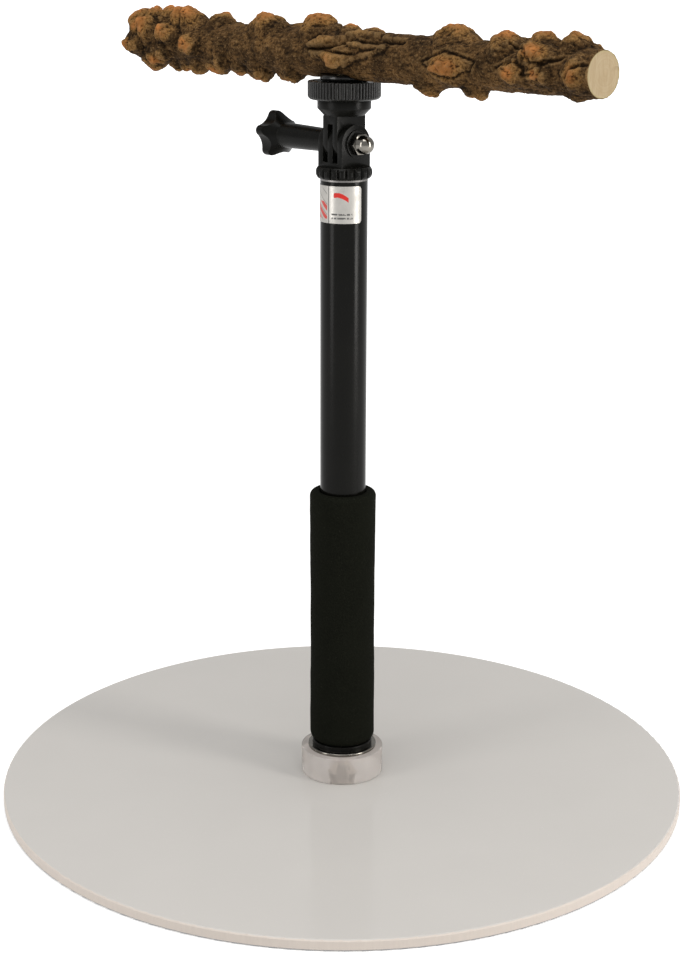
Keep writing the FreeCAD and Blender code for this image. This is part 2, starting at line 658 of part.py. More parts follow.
def perch_branch():
    mounds = []
    for row in THORNS:
        mounds.extend(thorn_with_skirts(*row))
    wood = bare_branch().multiFuse(mounds)
    reach = 2 * max(radius for share, radius in BRANCH_RADII)
    span = Part.makeCylinder(reach, BRANCH_END - BRANCH_START, ALONG_X * BRANCH_START, ALONG_X)
    wood = wood.common(span)
    wood.translate(UP * branch_axis)
    wood = wood.cut(disc(PAD_RADIUS + RUNNING_GAP, wheel_top, branch_seat))
    bore_top = branch_seat + STUD_DEPTH_IN_BRANCH + RUNNING_GAP
    wood = wood.cut(disc(insert_radius + FIT, branch_seat - CUT_PAST, bore_top))
    return single(wood)


def perch_insert():
    return pipe(insert_radius, insert_bore, branch_seat, branch_seat + BRANCH_INSERT_LENGTH)


# ---------------------------------------------------------------- write the pieces

PIECES = (base_plate, clear_boss, base_screw, steel_washer, pole_end_plug, plug_insert,
          outer_tube, tube_end_ring, outer_guide_bush, foam_grip, info_sticker,
          mid_lock_sleeve, mid_lock_core, mid_tube, mid_guide_bush,
          top_lock_sleeve, top_lock_core, inner_tube, twist_collar, lower_knuckle, acorn_nut,
          clamp_screw, star_knob, upper_knuckle, mount_stud,
          lock_wheel, wheel_insert, rubber_pad, perch_branch, perch_insert)

os.makedirs("parts", exist_ok=True)
for piece in PIECES:
    shape = piece()
    name = piece.__name__
    print("%-18s solids %d valid %s volume %.1f box %s" % (
        name, len(shape.Solids), shape.isValid(), shape.Volume, shape.BoundBox))
    shape.exportStep("parts/" + name + ".step")
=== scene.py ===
import math

import bpy
from mathutils import Euler, Matrix, Vector, noise


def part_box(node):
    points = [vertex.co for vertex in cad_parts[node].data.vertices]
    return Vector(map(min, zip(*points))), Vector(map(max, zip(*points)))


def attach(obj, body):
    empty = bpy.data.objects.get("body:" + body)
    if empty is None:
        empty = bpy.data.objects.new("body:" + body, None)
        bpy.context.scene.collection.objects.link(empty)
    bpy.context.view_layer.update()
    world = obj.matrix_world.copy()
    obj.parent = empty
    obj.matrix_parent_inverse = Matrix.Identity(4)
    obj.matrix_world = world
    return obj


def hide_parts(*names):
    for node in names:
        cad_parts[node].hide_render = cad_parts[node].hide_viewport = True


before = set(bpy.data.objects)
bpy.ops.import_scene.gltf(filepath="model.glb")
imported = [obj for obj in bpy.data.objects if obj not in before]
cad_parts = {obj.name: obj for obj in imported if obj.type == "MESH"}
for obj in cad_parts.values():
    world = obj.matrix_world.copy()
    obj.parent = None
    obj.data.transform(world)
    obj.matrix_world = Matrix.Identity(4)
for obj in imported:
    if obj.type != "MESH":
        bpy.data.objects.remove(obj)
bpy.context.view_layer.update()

bl_info = {
    "name": "Parrot Play Stand",
    "version": (1, 0, 0),
    "blender": (4, 5, 0),
    "location": "3D View > Sidebar > Play Stand",
    "description": "Dresses a table-top perch stand: plate, pole, tilting head and thorny branch",
    "category": "Add Mesh",
}

MM = 0.001
EDGE_DEGREES = 32.0     # edges that turn more than this stay sharp in the shading
SOFT_DEGREES = 50.0     # the same on soft pieces
BARK_DEGREES = 60.0     # and on bark
BEVEL_DEGREES = 35.0    # edges that turn more than this are softened
MOULDED_EDGE = 0.3      # softened edge of the knuckles and the cap nut, in mm
FLAT_DEGREES = 0.4      # faces that turn less than this become one before the softening


def mm(*values):
    """Millimetres as a point in metres."""
    return Vector(values) * MM


def low_high(node):
    """Lowest and highest corner of a CAD node in millimetres."""
    low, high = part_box(node)
    return low / MM, high / MM


SEAT_LOW = low_high("perch_insert")[0]
BRANCH_LOW, BRANCH_HIGH = low_high("perch_branch")
BRANCH_AXIS = SEAT_LOW.z + 7.3      # the branch's middle lies this far over its seat


# ---------------------------------------------------------------- settings


def colour(name, description, value):
    return bpy.props.FloatVectorProperty(name=name, description=description, default=value,
                                         subtype="COLOR", size=3, min=0.0, max=1.0)


def length(name, description, value):
    return bpy.props.FloatProperty(name=name, description=description, default=value,
                                   subtype="DISTANCE", unit="LENGTH", min=0.0, precision=5)


def fraction(name, description, value, top=1.0):
    return bpy.props.FloatProperty(name=name, description=description, default=value,
                                   subtype="FACTOR", min=0.0, max=top)


class BaseSettings(bpy.types.PropertyGroup):
    plate_colour: colour("Plate", "Colour of the gloss plate", (0.525, 0.507, 0.485))
    plate_rim_colour: colour("Plate rim", "Colour of the plate's sawn rim", (0.60, 0.54, 0.49))
    boss_colour: colour("Boss", "Tint of the clear boss", (0.70, 0.655, 0.62))
    thread_pitch: length("Thread pitch", "Pitch of the base screw's thread", 1.27 * MM)


class PoleSettings(bpy.types.PropertyGroup):
    tube_colour: colour("Tube", "Colour of the painted tube", (0.0022, 0.0022, 0.0016))
    plastic_colour: colour("Plastic", "Colour of the moulded parts", (0.0036, 0.0036, 0.0030))
    foam_colour: colour("Foam", "Colour of the foam grip", (0.0046, 0.0050, 0.0034))
    foam_cell: length("Foam cell", "Size of the cells in the foam's skin", 0.55 * MM)
    foam_wave: length("Foam wave", "How far the foam's surface wanders", 0.16 * MM)


class LabelSettings(bpy.types.PropertyGroup):
    foil_colour: colour("Foil", "Colour of the bare foil", (0.50, 0.485, 0.455))
    red_colour: colour("Red print", "Colour of the label's red marks", (0.56, 0.025, 0.018))
    grey_colour: colour("Grey print", "Colour of the label's grey lines", (0.05, 0.05, 0.05))


class BranchSettings(bpy.types.PropertyGroup):
    # the dark bark tone; dimmed further, it is also the painted shade in the hollows
    bark_dark: colour("Dark bark", "Colour in the bark's hollows", (0.036, 0.019, 0.007))
    bark_light: colour("Light bark", "Colour on the bark's ridges", (0.160, 0.086, 0.032))
    thorn_base: colour("Thorn foot", "Colour at the foot of a thorn", (0.310, 0.160, 0.050))
    thorn_tip: colour("Thorn tip", "Colour of a worn thorn tip", (0.500, 0.190, 0.052))
    wood_colour: colour("Cut wood", "Colour of the sawn end", (0.405, 0.322, 0.207))
    voxel: length("Voxel", "Size of the faces of the branch", 0.60 * MM)
    relief: length("Relief", "Depth of the rough bark", 0.40 * MM)


class StageSettings(bpy.types.PropertyGroup):
    reflected: fraction("Reflected", "How much of the white studio shows in reflections", 0.50)
    floor_colour: colour("Floor", "Colour of the floor", (0.86, 0.86, 0.86))
    ambient: fraction("Ambient", "Light from all round", 0.50, 2.0)
    key_power: bpy.props.FloatProperty(name="Key lamp", description="Power of the key lamp",
                                       default=5.6, subtype="POWER", unit="POWER", min=0.0)


SETTINGS = {"base": BaseSettings, "pole": PoleSettings, "label": LabelSettings,
            "branch": BranchSettings, "stage": StageSettings}


def setting(group):
    return getattr(bpy.context.scene, "play_stand_" + group)


# ---------------------------------------------------------------- modelling by hand


def deselect_all():
    if bpy.context.mode != "OBJECT":
        bpy.ops.object.mode_set(mode="OBJECT")
    bpy.ops.object.select_all(action="DESELECT")


def take(piece):
    """Selects one piece and makes it the active one."""
    deselect_all()
    piece.hide_set(False)
    piece.select_set(True)
    bpy.context.view_layer.objects.active = piece


def name_new(name):
    piece = bpy.context.active_object
    piece.name = name
    piece.data.name = name
    return piece


def edit_all(piece, kind):
    """Edit mode with all faces or all points of the piece selected."""
    take(piece)
    bpy.ops.object.mode_set(mode="EDIT")
    bpy.ops.mesh.select_mode(type=kind)
    bpy.ops.mesh.select_all(action="SELECT")


def leave_edit():
    bpy.ops.object.mode_set(mode="OBJECT")


def merge_and_turn_out(piece, gap=1e-6):
    """Merges doubled points and turns all faces outwards."""
    edit_all(piece, "VERT")
    bpy.ops.mesh.remove_doubles(threshold=gap)
    bpy.ops.mesh.normals_make_consistent(inside=False)
    leave_edit()


def settle(piece):
    """Puts the piece's place into its mesh."""
    take(piece)
    bpy.ops.object.transform_apply(location=True, rotation=True, scale=True)
    return piece


def apply_modifier(piece, kind, **values):
    """Adds a modifier with these values and applies it."""
    take(piece)
    modifier = piece.modifiers.new(kind.title(), kind)
    for key, value in values.items():
        setattr(modifier, key, value)
    bpy.ops.object.modifier_apply(modifier=modifier.name)
    return piece


def smooth(piece, degrees=EDGE_DEGREES):
    take(piece)
    bpy.ops.object.shade_smooth_by_angle(angle=math.radians(degrees))
    return piece


def arc(radius, height, wide, tall, start, end, steps):
    """Points of a profile's rounded edge about (radius, height), from angle to angle."""
    for step in range(steps + 1):
        angle = math.radians(start + (end - start) * step / steps)
        yield radius + wide * math.cos(angle), height + tall * math.sin(angle)


def turned(name, profile, steps):
    """A piece turned on a lathe about Z. The profile's points are (radius, height) in mm."""
    points = [mm(radius, 0, height) for radius, height in profile]
    deselect_all()
    bpy.ops.mesh.primitive_plane_add(size=1 * MM, location=(0, 0, 0))
    piece = name_new(name)
    bpy.ops.object.mode_set(mode="EDIT")
    bpy.ops.mesh.select_mode(type="VERT")
    bpy.ops.mesh.select_all(action="SELECT")
    bpy.ops.mesh.merge(type="CENTER")
    bpy.ops.transform.translate(value=points[0])
    for before, after in zip(points, points[1:]):
        bpy.ops.mesh.extrude_vertices_move(TRANSFORM_OT_translate={"value": after - before})
    bpy.ops.mesh.select_all(action="SELECT")
    bpy.ops.mesh.spin(steps=steps, angle=2 * math.pi, center=(0, 0, 0), axis=(0, 0, 1))
    leave_edit()
    merge_and_turn_out(piece)
    return settle(piece)


def cad_copy(node, name, edge=0.0):
    """A copy of a CAD node with merged points, and edges softened by this many mm."""
    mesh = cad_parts[node].data.copy()
    mesh.materials.clear()
    piece = bpy.data.objects.new(name, mesh)
    mesh.name = name
    bpy.context.scene.collection.objects.link(piece)
    merge_and_turn_out(piece, 2e-6)
    take(piece)
    bpy.ops.mesh.customdata_custom_splitnormals_clear()
    if edge:
        edit_all(piece, "FACE")
        bpy.ops.mesh.dissolve_limited(angle_limit=math.radians(FLAT_DEGREES))
        leave_edit()
        apply_modifier(piece, "BEVEL", width=edge * MM, segments=2, limit_method="ANGLE",
                       angle_limit=math.radians(BEVEL_DEGREES), use_clamp_overlap=True,
                       harden_normals=False)
    return smooth(piece)


def move_points(piece, move):
    """Moves each point of a piece to where move(point) says."""
    for vert in piece.data.vertices:
        vert.co = move(vert.co.copy())
    piece.data.update()


def hand_in(piece, body, slot, material, *nodes):
    """Gives a finished piece its body, finish and the CAD nodes that it stands for."""
    piece.data.materials.clear()
    piece.data.materials.append(material)
    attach(piece, body)
    if nodes:
        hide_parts(*nodes)
    return piece


def paint_node(node, material):
    """Gives a CAD node that keeps its shape its finish."""
    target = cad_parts[node]
    for index in range(len(target.material_slots)):
        target.material_slots[index].material = material


# ---------------------------------------------------------------- shader helpers


def add(tree, kind, inputs=None, **values):
    """A node with its values set and its inputs filled or linked."""
    made = tree.nodes.new(kind)
    for key, value in values.items():
        setattr(made, key, value)
    for key, value in (inputs or {}).items():
        if isinstance(value, bpy.types.NodeSocket):
            tree.links.new(value, made.inputs[key])
        else:
            made.inputs[key].default_value = value
    return made


def maths(tree, operation, first, second=0.0, third=0.0):
    made = add(tree, "ShaderNodeMath", {0: first, 1: second, 2: third}, operation=operation)
    return made.outputs[0]


def times(tree, first, second):
    return maths(tree, "MULTIPLY", first, second)


def ramp_value(tree, value, low, high, out_low=0.0, out_high=1.0):
    """The value's step from low to high as a smooth step between two other values."""
    made = add(tree, "ShaderNodeMapRange", {"Value": value, "From Min": low, "From Max": high,
                                            "To Min": out_low, "To Max": out_high})
    made.interpolation_type = "SMOOTHSTEP"
    return made.outputs["Result"]


def mix_colour(tree, factor, first, second):
    made = add(tree, "ShaderNodeMix", data_type="RGBA", blend_type="MIX")
    for index, value in ((0, factor), (6, first), (7, second)):
        if isinstance(value, bpy.types.NodeSocket):
            tree.links.new(value, made.inputs[index])
        elif index:
            made.inputs[index].default_value = (*value, 1.0)[:4]
        else:
            made.inputs[index].default_value = value
    return made.outputs[2]


def laid_on(tree, mask, amount, under, over):
    """A colour laid over another where the mask is set, by this amount at most."""
    return mix_colour(tree, times(tree, mask, amount), under, over)


def noise_value(tree, place, size, detail=3.0, roughness=0.5):
    """Noise with features of the given size in millimetres."""
    made = add(tree, "ShaderNodeTexNoise", {"Vector": place, "Scale": 1.0 / (size * MM),
                                            "Detail": detail, "Roughness": roughness})
    return made.outputs["Fac"]


def cells(tree, place, size):
    """Round cells of the given size in millimetres, as distances from their centres."""
    made = add(tree, "ShaderNodeTexVoronoi", {"Vector": place, "Scale": 1.0 / (size * MM)})
    return made.outputs["Distance"]


def stretched(tree, place, factors, centre=(0.0, 0.0, 0.0)):
    """Coordinates centred and scaled by these factors."""
    moved = add(tree, "ShaderNodeVectorMath", {0: place, 1: centre}, operation="SUBTRACT")
    made = add(tree, "ShaderNodeVectorMath", {0: moved.outputs[0], 1: factors},
               operation="MULTIPLY")
    return made.outputs[0]


def object_place(tree):
    return add(tree, "ShaderNodeTexCoord").outputs["Object"]


def split(tree, vector):
    made = add(tree, "ShaderNodeSeparateXYZ", {0: vector})
    return made.outputs[0], made.outputs[1], made.outputs[2]


def joined(tree, *parts):
    return add(tree, "ShaderNodeCombineXYZ", dict(enumerate(parts))).outputs[0]


def length_of(tree, vector):
    return add(tree, "ShaderNodeVectorMath", {0: vector}, operation="LENGTH").outputs["Value"]


def dim(tone, share):
    """A colour dimmed to a share of itself."""
    return [part * share for part in tone]


def bump(tree, height, depth):
    """A relief whose height of one stands for this depth in millimetres."""
    inputs = {"Height": height, "Distance": depth * MM, "Strength": 1.0}
    return add(tree, "ShaderNodeBump", inputs).outputs["Normal"]


def new_group(name, inputs, outputs):
    """A node group of plain values: its inputs (name, default, low, high) and output names."""
    tree = bpy.data.node_groups.new(name, "ShaderNodeTree")
    kind = "NodeSocketFloat"
    for label, value, low, high in inputs:
        made = tree.interface.new_socket(name=label, in_out="INPUT", socket_type=kind)
        made.default_value, made.min_value, made.max_value = value, low, high
    for label in outputs:
        tree.interface.new_socket(name=label, in_out="OUTPUT", socket_type=kind)
    return tree, tree.nodes.new("NodeGroupInput"), tree.nodes.new("NodeGroupOutput")


def use_group(tree, name, **values):
    made = tree.nodes.new("ShaderNodeGroup")
    made.node_tree = bpy.data.node_groups[name]
    for key, value in values.items():
        made.inputs[key.replace("_", " ")].default_value = value
    return made


# ---------------------------------------------------------------- shared effects


def build_edge_wear_and_highlight():
    """Sharp edges, where the surface turns sharply, broken up by noise: worn edges on metal, worn
    edges with a painted highlight on black plastic, and a painted highlight on the clear boss.
    """
    tree, given, result = new_group(
        "edge_wear_and_highlight", [("Width mm", 0.3, 0.01, 5.0), ("Amount", 0.5, 0.0, 1.0)], ["Mask"])
    width = times(tree, given.outputs["Width mm"], MM)
    rounded = add(tree, "ShaderNodeBevel", {"Radius": width}, samples=4).outputs[0]
    facing = add(tree, "ShaderNodeNewGeometry").outputs["Normal"]
    same = add(tree, "ShaderNodeVectorMath", {0: rounded, 1: facing}, operation="DOT_PRODUCT")
    turn = ramp_value(tree, same.outputs["Value"], 0.995, 0.86)
    patches = ramp_value(tree, noise_value(tree, object_place(tree), 1.6, 4.0), 0.35, 0.62)
    worn = times(tree, turn, patches)
    worn = times(tree, worn, given.outputs["Amount"])
    tree.links.new(worn, result.inputs["Mask"])


def build_handling():
    """Handling marks: broad smudges and fine specks of dust."""
    tree, given, result = new_group(
        "handling", [("Smudge mm", 14.0, 0.1, 200.0), ("Speck mm", 1.1, 0.05, 50.0)],
        ["Smudge", "Dust"])
    place = object_place(tree)
    for label, output, detail in (("Smudge mm", "Smudge", 3.0), ("Speck mm", "Dust", 2.0)):
        scale = maths(tree, "DIVIDE", 1.0 / MM, given.outputs[label])
        cloud = add(tree, "ShaderNodeTexNoise", {"Vector": place, "Scale": scale,
                                                 "Detail": detail}).outputs["Fac"]
        low, high = (0.30, 0.70) if output == "Smudge" else (0.66, 0.74)
        tree.links.new(ramp_value(tree, cloud, low, high), result.inputs[output])


def build_moulded_grain():
    """The fine sparkle of a moulded plastic skin."""
    tree, given, result = new_group(
        "moulded_grain", [("Grain mm", 0.35, 0.02, 10.0)], ["Height"])
    place = object_place(tree)
    scale = maths(tree, "DIVIDE", 1.0 / MM, given.outputs["Grain mm"])
    fine = add(tree, "ShaderNodeTexNoise", {"Vector": place, "Scale": scale, "Detail": 2.0})
    sink = noise_value(tree, place, 9.0, 1.0)
    height = maths(tree, "MULTIPLY_ADD", fine.outputs["Fac"], 0.5, sink)
    tree.links.new(height, result.inputs["Height"])


def build_turning_marks():
    """Fine rings about the Z axis, as a lathe or a polishing wheel leaves."""
    tree, given, result = new_group(
        "turning_marks", [("Ring mm", 0.25, 0.01, 10.0)], ["Height"])
    x, y, z = split(tree, object_place(tree))
    along = joined(tree, length_of(tree, joined(tree, x, y)), z)
    scale = maths(tree, "DIVIDE", 1.0 / MM, given.outputs["Ring mm"])
    rings = add(tree, "ShaderNodeTexNoise", {"Vector": along, "Scale": scale, "Detail": 3.0})
    tree.links.new(rings.outputs["Fac"], result.inputs["Height"])


# ---------------------------------------------------------------- finishes


def new_finish(name, metallic=0.0, ior=1.5, **constants):
    """A material with its Principled shader's own sockets set."""
    material = bpy.data.materials.new(name)
    material.use_nodes = True
    tree = material.node_tree
    shader = tree.nodes["Principled BSDF"]
    shader.inputs["Metallic"].default_value = metallic
    shader.inputs["IOR"].default_value = ior
    for key, value in constants.items():
        shader.inputs[key.replace("_", " ")].default_value = value
    return material, tree, shader


def wire(tree, shader, **sockets):
    for key, value in sockets.items():
        tree.links.new(value, shader.inputs[key.replace("_", " ")])


def plate_finish():
    values = setting("base")
    material, tree, shader = new_finish("white_acrylic", ior=1.49, Specular_IOR_Level=0.15)
    place = object_place(tree)
    x, y, z = split(tree, place)
    radius = length_of(tree, joined(tree, x, y))
    marks = use_group(tree, "handling", Smudge_mm=38.0, Speck_mm=0.9)
    tone = mix_colour(tree, marks.outputs["Smudge"], values.plate_colour,
                      dim(values.plate_colour, 0.985))
    tone = laid_on(tree, marks.outputs["Dust"], 0.10, tone, (0.74, 0.73, 0.71))
    saw = noise_value(tree, stretched(tree, place, (1.0, 1.0, 0.12)), 0.9, 3.0)
    rim_tone = mix_colour(tree, ramp_value(tree, saw, 0.3, 0.7), values.plate_rim_colour,
                          dim(values.plate_rim_colour, 0.97))
    # a painted shadow line along the foot of the rim, and the rim's own colour outside the gloss
    painted_foot_shadow = ramp_value(tree, z, 0.85 * MM, 0.55 * MM)
    rim_tone = mix_colour(tree, painted_foot_shadow, rim_tone, (0.30, 0.31, 0.33))
    rim = ramp_value(tree, radius, 149.35 * MM, 149.75 * MM)
    tone = mix_colour(tree, rim, tone, rim_tone)
    gloss = ramp_value(tree, marks.outputs["Smudge"], 0.0, 1.0, 0.07, 0.12)
    gloss = maths(tree, "MAXIMUM", gloss, times(tree, rim, 0.45))
    wave = noise_value(tree, place, 55.0, 1.0)
    relief = maths(tree, "MULTIPLY_ADD", times(tree, saw, rim), 0.08, wave)
    wire(tree, shader, Base_Color=tone, Roughness=gloss, Normal=bump(tree, relief, 0.25))
    return material


def clear_finish():
    values = setting("base")
    material, tree, shader = new_finish("clear_acrylic", ior=1.16, Transmission_Weight=0.62)
    marks = use_group(tree, "handling", Smudge_mm=5.0, Speck_mm=0.6)
    wear_and_highlight = use_group(tree, "edge_wear_and_highlight", Width_mm=0.5, Amount=0.7)
    # painted highlight: the sharp edges of the clear boss are painted near white, as light
    # outlines
    tone = mix_colour(tree, wear_and_highlight.outputs["Mask"], values.boss_colour, (0.97, 0.97, 0.96))
    haze = ramp_value(tree, marks.outputs["Smudge"], 0.0, 1.0, 0.08, 0.14)
    haze = maths(tree, "MAXIMUM", haze, times(tree, wear_and_highlight.outputs["Mask"], 0.35))
    rings = use_group(tree, "turning_marks", Ring_mm=0.8)
    wire(tree, shader, Base_Color=tone, Roughness=haze,
         Normal=bump(tree, rings.outputs["Height"], 0.03))
    return material


def metal_finish(name, tone, rough, ring, tarnish):
    """A bare metal with turning marks, smudges and brighter worn edges."""
    material, tree, shader = new_finish(name, metallic=1.0)
    marks = use_group(tree, "handling", Smudge_mm=6.0, Speck_mm=0.5)
    wear_and_highlight = use_group(tree, "edge_wear_and_highlight", Width_mm=0.25, Amount=0.8)
    rings = use_group(tree, "turning_marks", Ring_mm=ring)
    dull = mix_colour(tree, marks.outputs["Smudge"], tone, dim(tone, tarnish))
    bright = [min(1.0, part * 1.15) for part in tone]
    surface = mix_colour(tree, wear_and_highlight.outputs["Mask"], dull, bright)
    gloss = ramp_value(tree, marks.outputs["Smudge"], 0.0, 1.0, rough, rough * 1.7)
    wire(tree, shader, Base_Color=surface, Roughness=gloss,
         Normal=bump(tree, rings.outputs["Height"], 0.004))
    return material


def plastic_finish(name="black_plastic", rough=0.25, spec=0.11):
    values = setting("pole")
    material, tree, shader = new_finish(name, ior=1.46, Specular_IOR_Level=spec)
    marks = use_group(tree, "handling", Smudge_mm=8.0, Speck_mm=0.45)
    wear_and_highlight = use_group(tree, "edge_wear_and_highlight", Width_mm=0.35, Amount=0.55)
    grain = use_group(tree, "moulded_grain", Grain_mm=0.30)
    base = tuple(values.plastic_colour)
    tone = mix_colour(tree, marks.outputs["Smudge"], base, dim(base, 1.5))
    # sharp edges lightened: worn edges, and a painted highlight along them
    tone = mix_colour(tree, wear_and_highlight.outputs["Mask"], tone, (0.090, 0.086, 0.078))
    tone = laid_on(tree, marks.outputs["Dust"], 0.06, tone, (0.20, 0.19, 0.17))
    gloss = ramp_value(tree, marks.outputs["Smudge"], 0.0, 1.0, rough, rough * 1.3)
    wire(tree, shader, Base_Color=tone, Roughness=gloss,
         Normal=bump(tree, grain.outputs["Height"], 0.035))
    return material


def tube_finish():
    values = setting("pole")
    material, tree, shader = new_finish("black_tube", ior=1.45, Specular_IOR_Level=0.14)
    place = object_place(tree)
    marks = use_group(tree, "handling", Smudge_mm=16.0, Speck_mm=0.5)
    grain = use_group(tree, "moulded_grain", Grain_mm=0.22)
    base = tuple(values.tube_colour)
    tone = mix_colour(tree, marks.outputs["Smudge"], base, dim(base, 1.5))
    tone = laid_on(tree, marks.outputs["Dust"], 0.05, tone, (0.16, 0.15, 0.14))
    lines = noise_value(tree, stretched(tree, place, (1.0, 1.0, 0.025)), 0.7, 2.0)
    gloss = ramp_value(tree, marks.outputs["Smudge"], 0.0, 1.0, 0.14, 0.19)
    relief = maths(tree, "MULTIPLY_ADD", lines, 0.6, grain.outputs["Height"])
    wire(tree, shader, Base_Color=tone, Roughness=gloss, Normal=bump(tree, relief, 0.02))
    return material


def foam_finish():
    values = setting("pole")
    material, tree, shader = new_finish("foam", ior=1.4, Specular_IOR_Level=0.04)
    place = object_place(tree)
    cell = values.foam_cell / MM
    pores = cells(tree, place, cell)
    fine = cells(tree, place, cell * 0.45)
    marks = use_group(tree, "handling", Smudge_mm=12.0, Speck_mm=0.55)
    base = tuple(values.foam_colour)
    tone = mix_colour(tree, marks.outputs["Smudge"], base, dim(base, 1.35))
    tone = mix_colour(tree, ramp_value(tree, pores, 0.25, 0.75), tone, dim(base, 1.7))
    tone = laid_on(tree, marks.outputs["Dust"], 0.10, tone, (0.10, 0.10, 0.08))
    rough = ramp_value(tree, pores, 0.0, 0.8, 0.72, 0.92)
    height = maths(tree, "MULTIPLY_ADD", fine, 0.5, pores)
    wire(tree, shader, Base_Color=tone, Roughness=rough, Normal=bump(tree, height, 0.10))
    return material


def rubber_finish():
    material, tree, shader = new_finish("black_rubber", ior=1.5, Specular_IOR_Level=0.40)
    marks = use_group(tree, "handling", Smudge_mm=3.0, Speck_mm=0.4)
    tone = mix_colour(tree, marks.outputs["Smudge"], (0.006, 0.006, 0.006), (0.012, 0.012, 0.011))
    ripple = noise_value(tree, object_place(tree), 1.6, 2.0)
    gloss = ramp_value(tree, marks.outputs["Smudge"], 0.0, 1.0, 0.12, 0.24)
    wire(tree, shader, Base_Color=tone, Roughness=gloss, Normal=bump(tree, ripple, 0.22))
    return material


# the label's marks in mm: across runs round the tube from +X, up is the height over the floor
LABEL_RADIUS = 9.92
DIVIDER = (-13.95, -13.55)
SIDE_PANEL = (-29.0, -14.6)
SIDE_HEIGHT = (252.3, 264.6)
SIDE_RED_HEIGHT = (252.6, 259.6)
STRIPE_PITCH = 4.2
RED_BAR = (-11.4, -5.2)
RED_BAR_MIDDLE = -8.9
RED_BAR_HEIGHT = 260.5
RULES = (-12.4, -3.4)
RULES_HEIGHT = (252.2, 255.2)
RULE_PITCH = 1.55


def label_finish():
    """Bare foil with an arched red bar, broken grey rules and a striped side panel."""
    values = setting("label")
    material, tree, shader = new_finish("foil", ior=1.5, Specular_IOR_Level=0.3)
    place = object_place(tree)
    x, y, z = split(tree, place)
    across = times(tree, maths(tree, "ARCTAN2", y, x), LABEL_RADIUS)
    up = maths(tree, "DIVIDE", z, MM)

    def between(value, span, soft=0.12):
        low, high = span
        rise = ramp_value(tree, value, low - soft, low + soft)
        fall = ramp_value(tree, value, high + soft, high - soft)
        return times(tree, rise, fall)

    divider = between(across, DIVIDER, 0.06)
    off_middle = maths(tree, "ABSOLUTE", maths(tree, "SUBTRACT", across, RED_BAR_MIDDLE))
    arch = maths(tree, "POWER", off_middle, 2.0)
    arch = maths(tree, "MULTIPLY_ADD", arch, -0.09, RED_BAR_HEIGHT)
    middle = maths(tree, "MULTIPLY_ADD", across, -0.20, arch)
    ragged = noise_value(tree, place, 0.6, 1.0)
    off = maths(tree, "ABSOLUTE", maths(tree, "SUBTRACT", up, middle))
    off = maths(tree, "MULTIPLY_ADD", ragged, 0.5, off)
    bar = times(tree, ramp_value(tree, off, 1.30, 1.10), between(across, RED_BAR))

    over_foot = maths(tree, "SUBTRACT", up, RULES_HEIGHT[0] + 0.1)
    rules = maths(tree, "FRACT", maths(tree, "DIVIDE", over_foot, RULE_PITCH))
    rules = times(tree, between(rules, (0.25, 0.70), 0.05), between(up, RULES_HEIGHT))
    rules = times(tree, rules, between(across, RULES))
    broken = noise_value(tree, stretched(tree, place, (1.0, 1.0, 0.3)), 0.55, 1.0)
    rules = times(tree, rules, ramp_value(tree, broken, 0.44, 0.48))

    side = times(tree, between(across, SIDE_PANEL), between(up, SIDE_HEIGHT))
    slant = maths(tree, "MULTIPLY_ADD", across, 0.8, up)
    slant = maths(tree, "FRACT", maths(tree, "DIVIDE", slant, STRIPE_PITCH))
    side_red = times(tree, between(slant, (0.12, 0.62), 0.03), between(up, SIDE_RED_HEIGHT))
    side_red = times(tree, side_red, side)
    side_grey = times(tree, between(slant, (0.72, 0.80), 0.03), side)

    crease = noise_value(tree, place, 5.0, 3.0)
    tone = mix_colour(tree, ramp_value(tree, crease, 0.35, 0.7), values.foil_colour,
                      dim(values.foil_colour, 0.88))
    tone = laid_on(tree, side_grey, 0.8, tone, values.grey_colour)
    tone = mix_colour(tree, maths(tree, "MAXIMUM", bar, times(tree, side_red, 0.9)), tone,
                      values.red_colour)
    grey = maths(tree, "MAXIMUM", rules, divider)
    tone = laid_on(tree, grey, 0.9, tone, values.grey_colour)
    ink = maths(tree, "MAXIMUM", maths(tree, "MAXIMUM", bar, grey), side)
    shine = times(tree, maths(tree, "SUBTRACT", 1.0, ink), 0.55)
    gloss = ramp_value(tree, crease, 0.3, 0.7, 0.30, 0.42)
    wire(tree, shader, Base_Color=tone, Metallic=shine, Roughness=gloss,
         Normal=bump(tree, crease, 0.05))
    return material


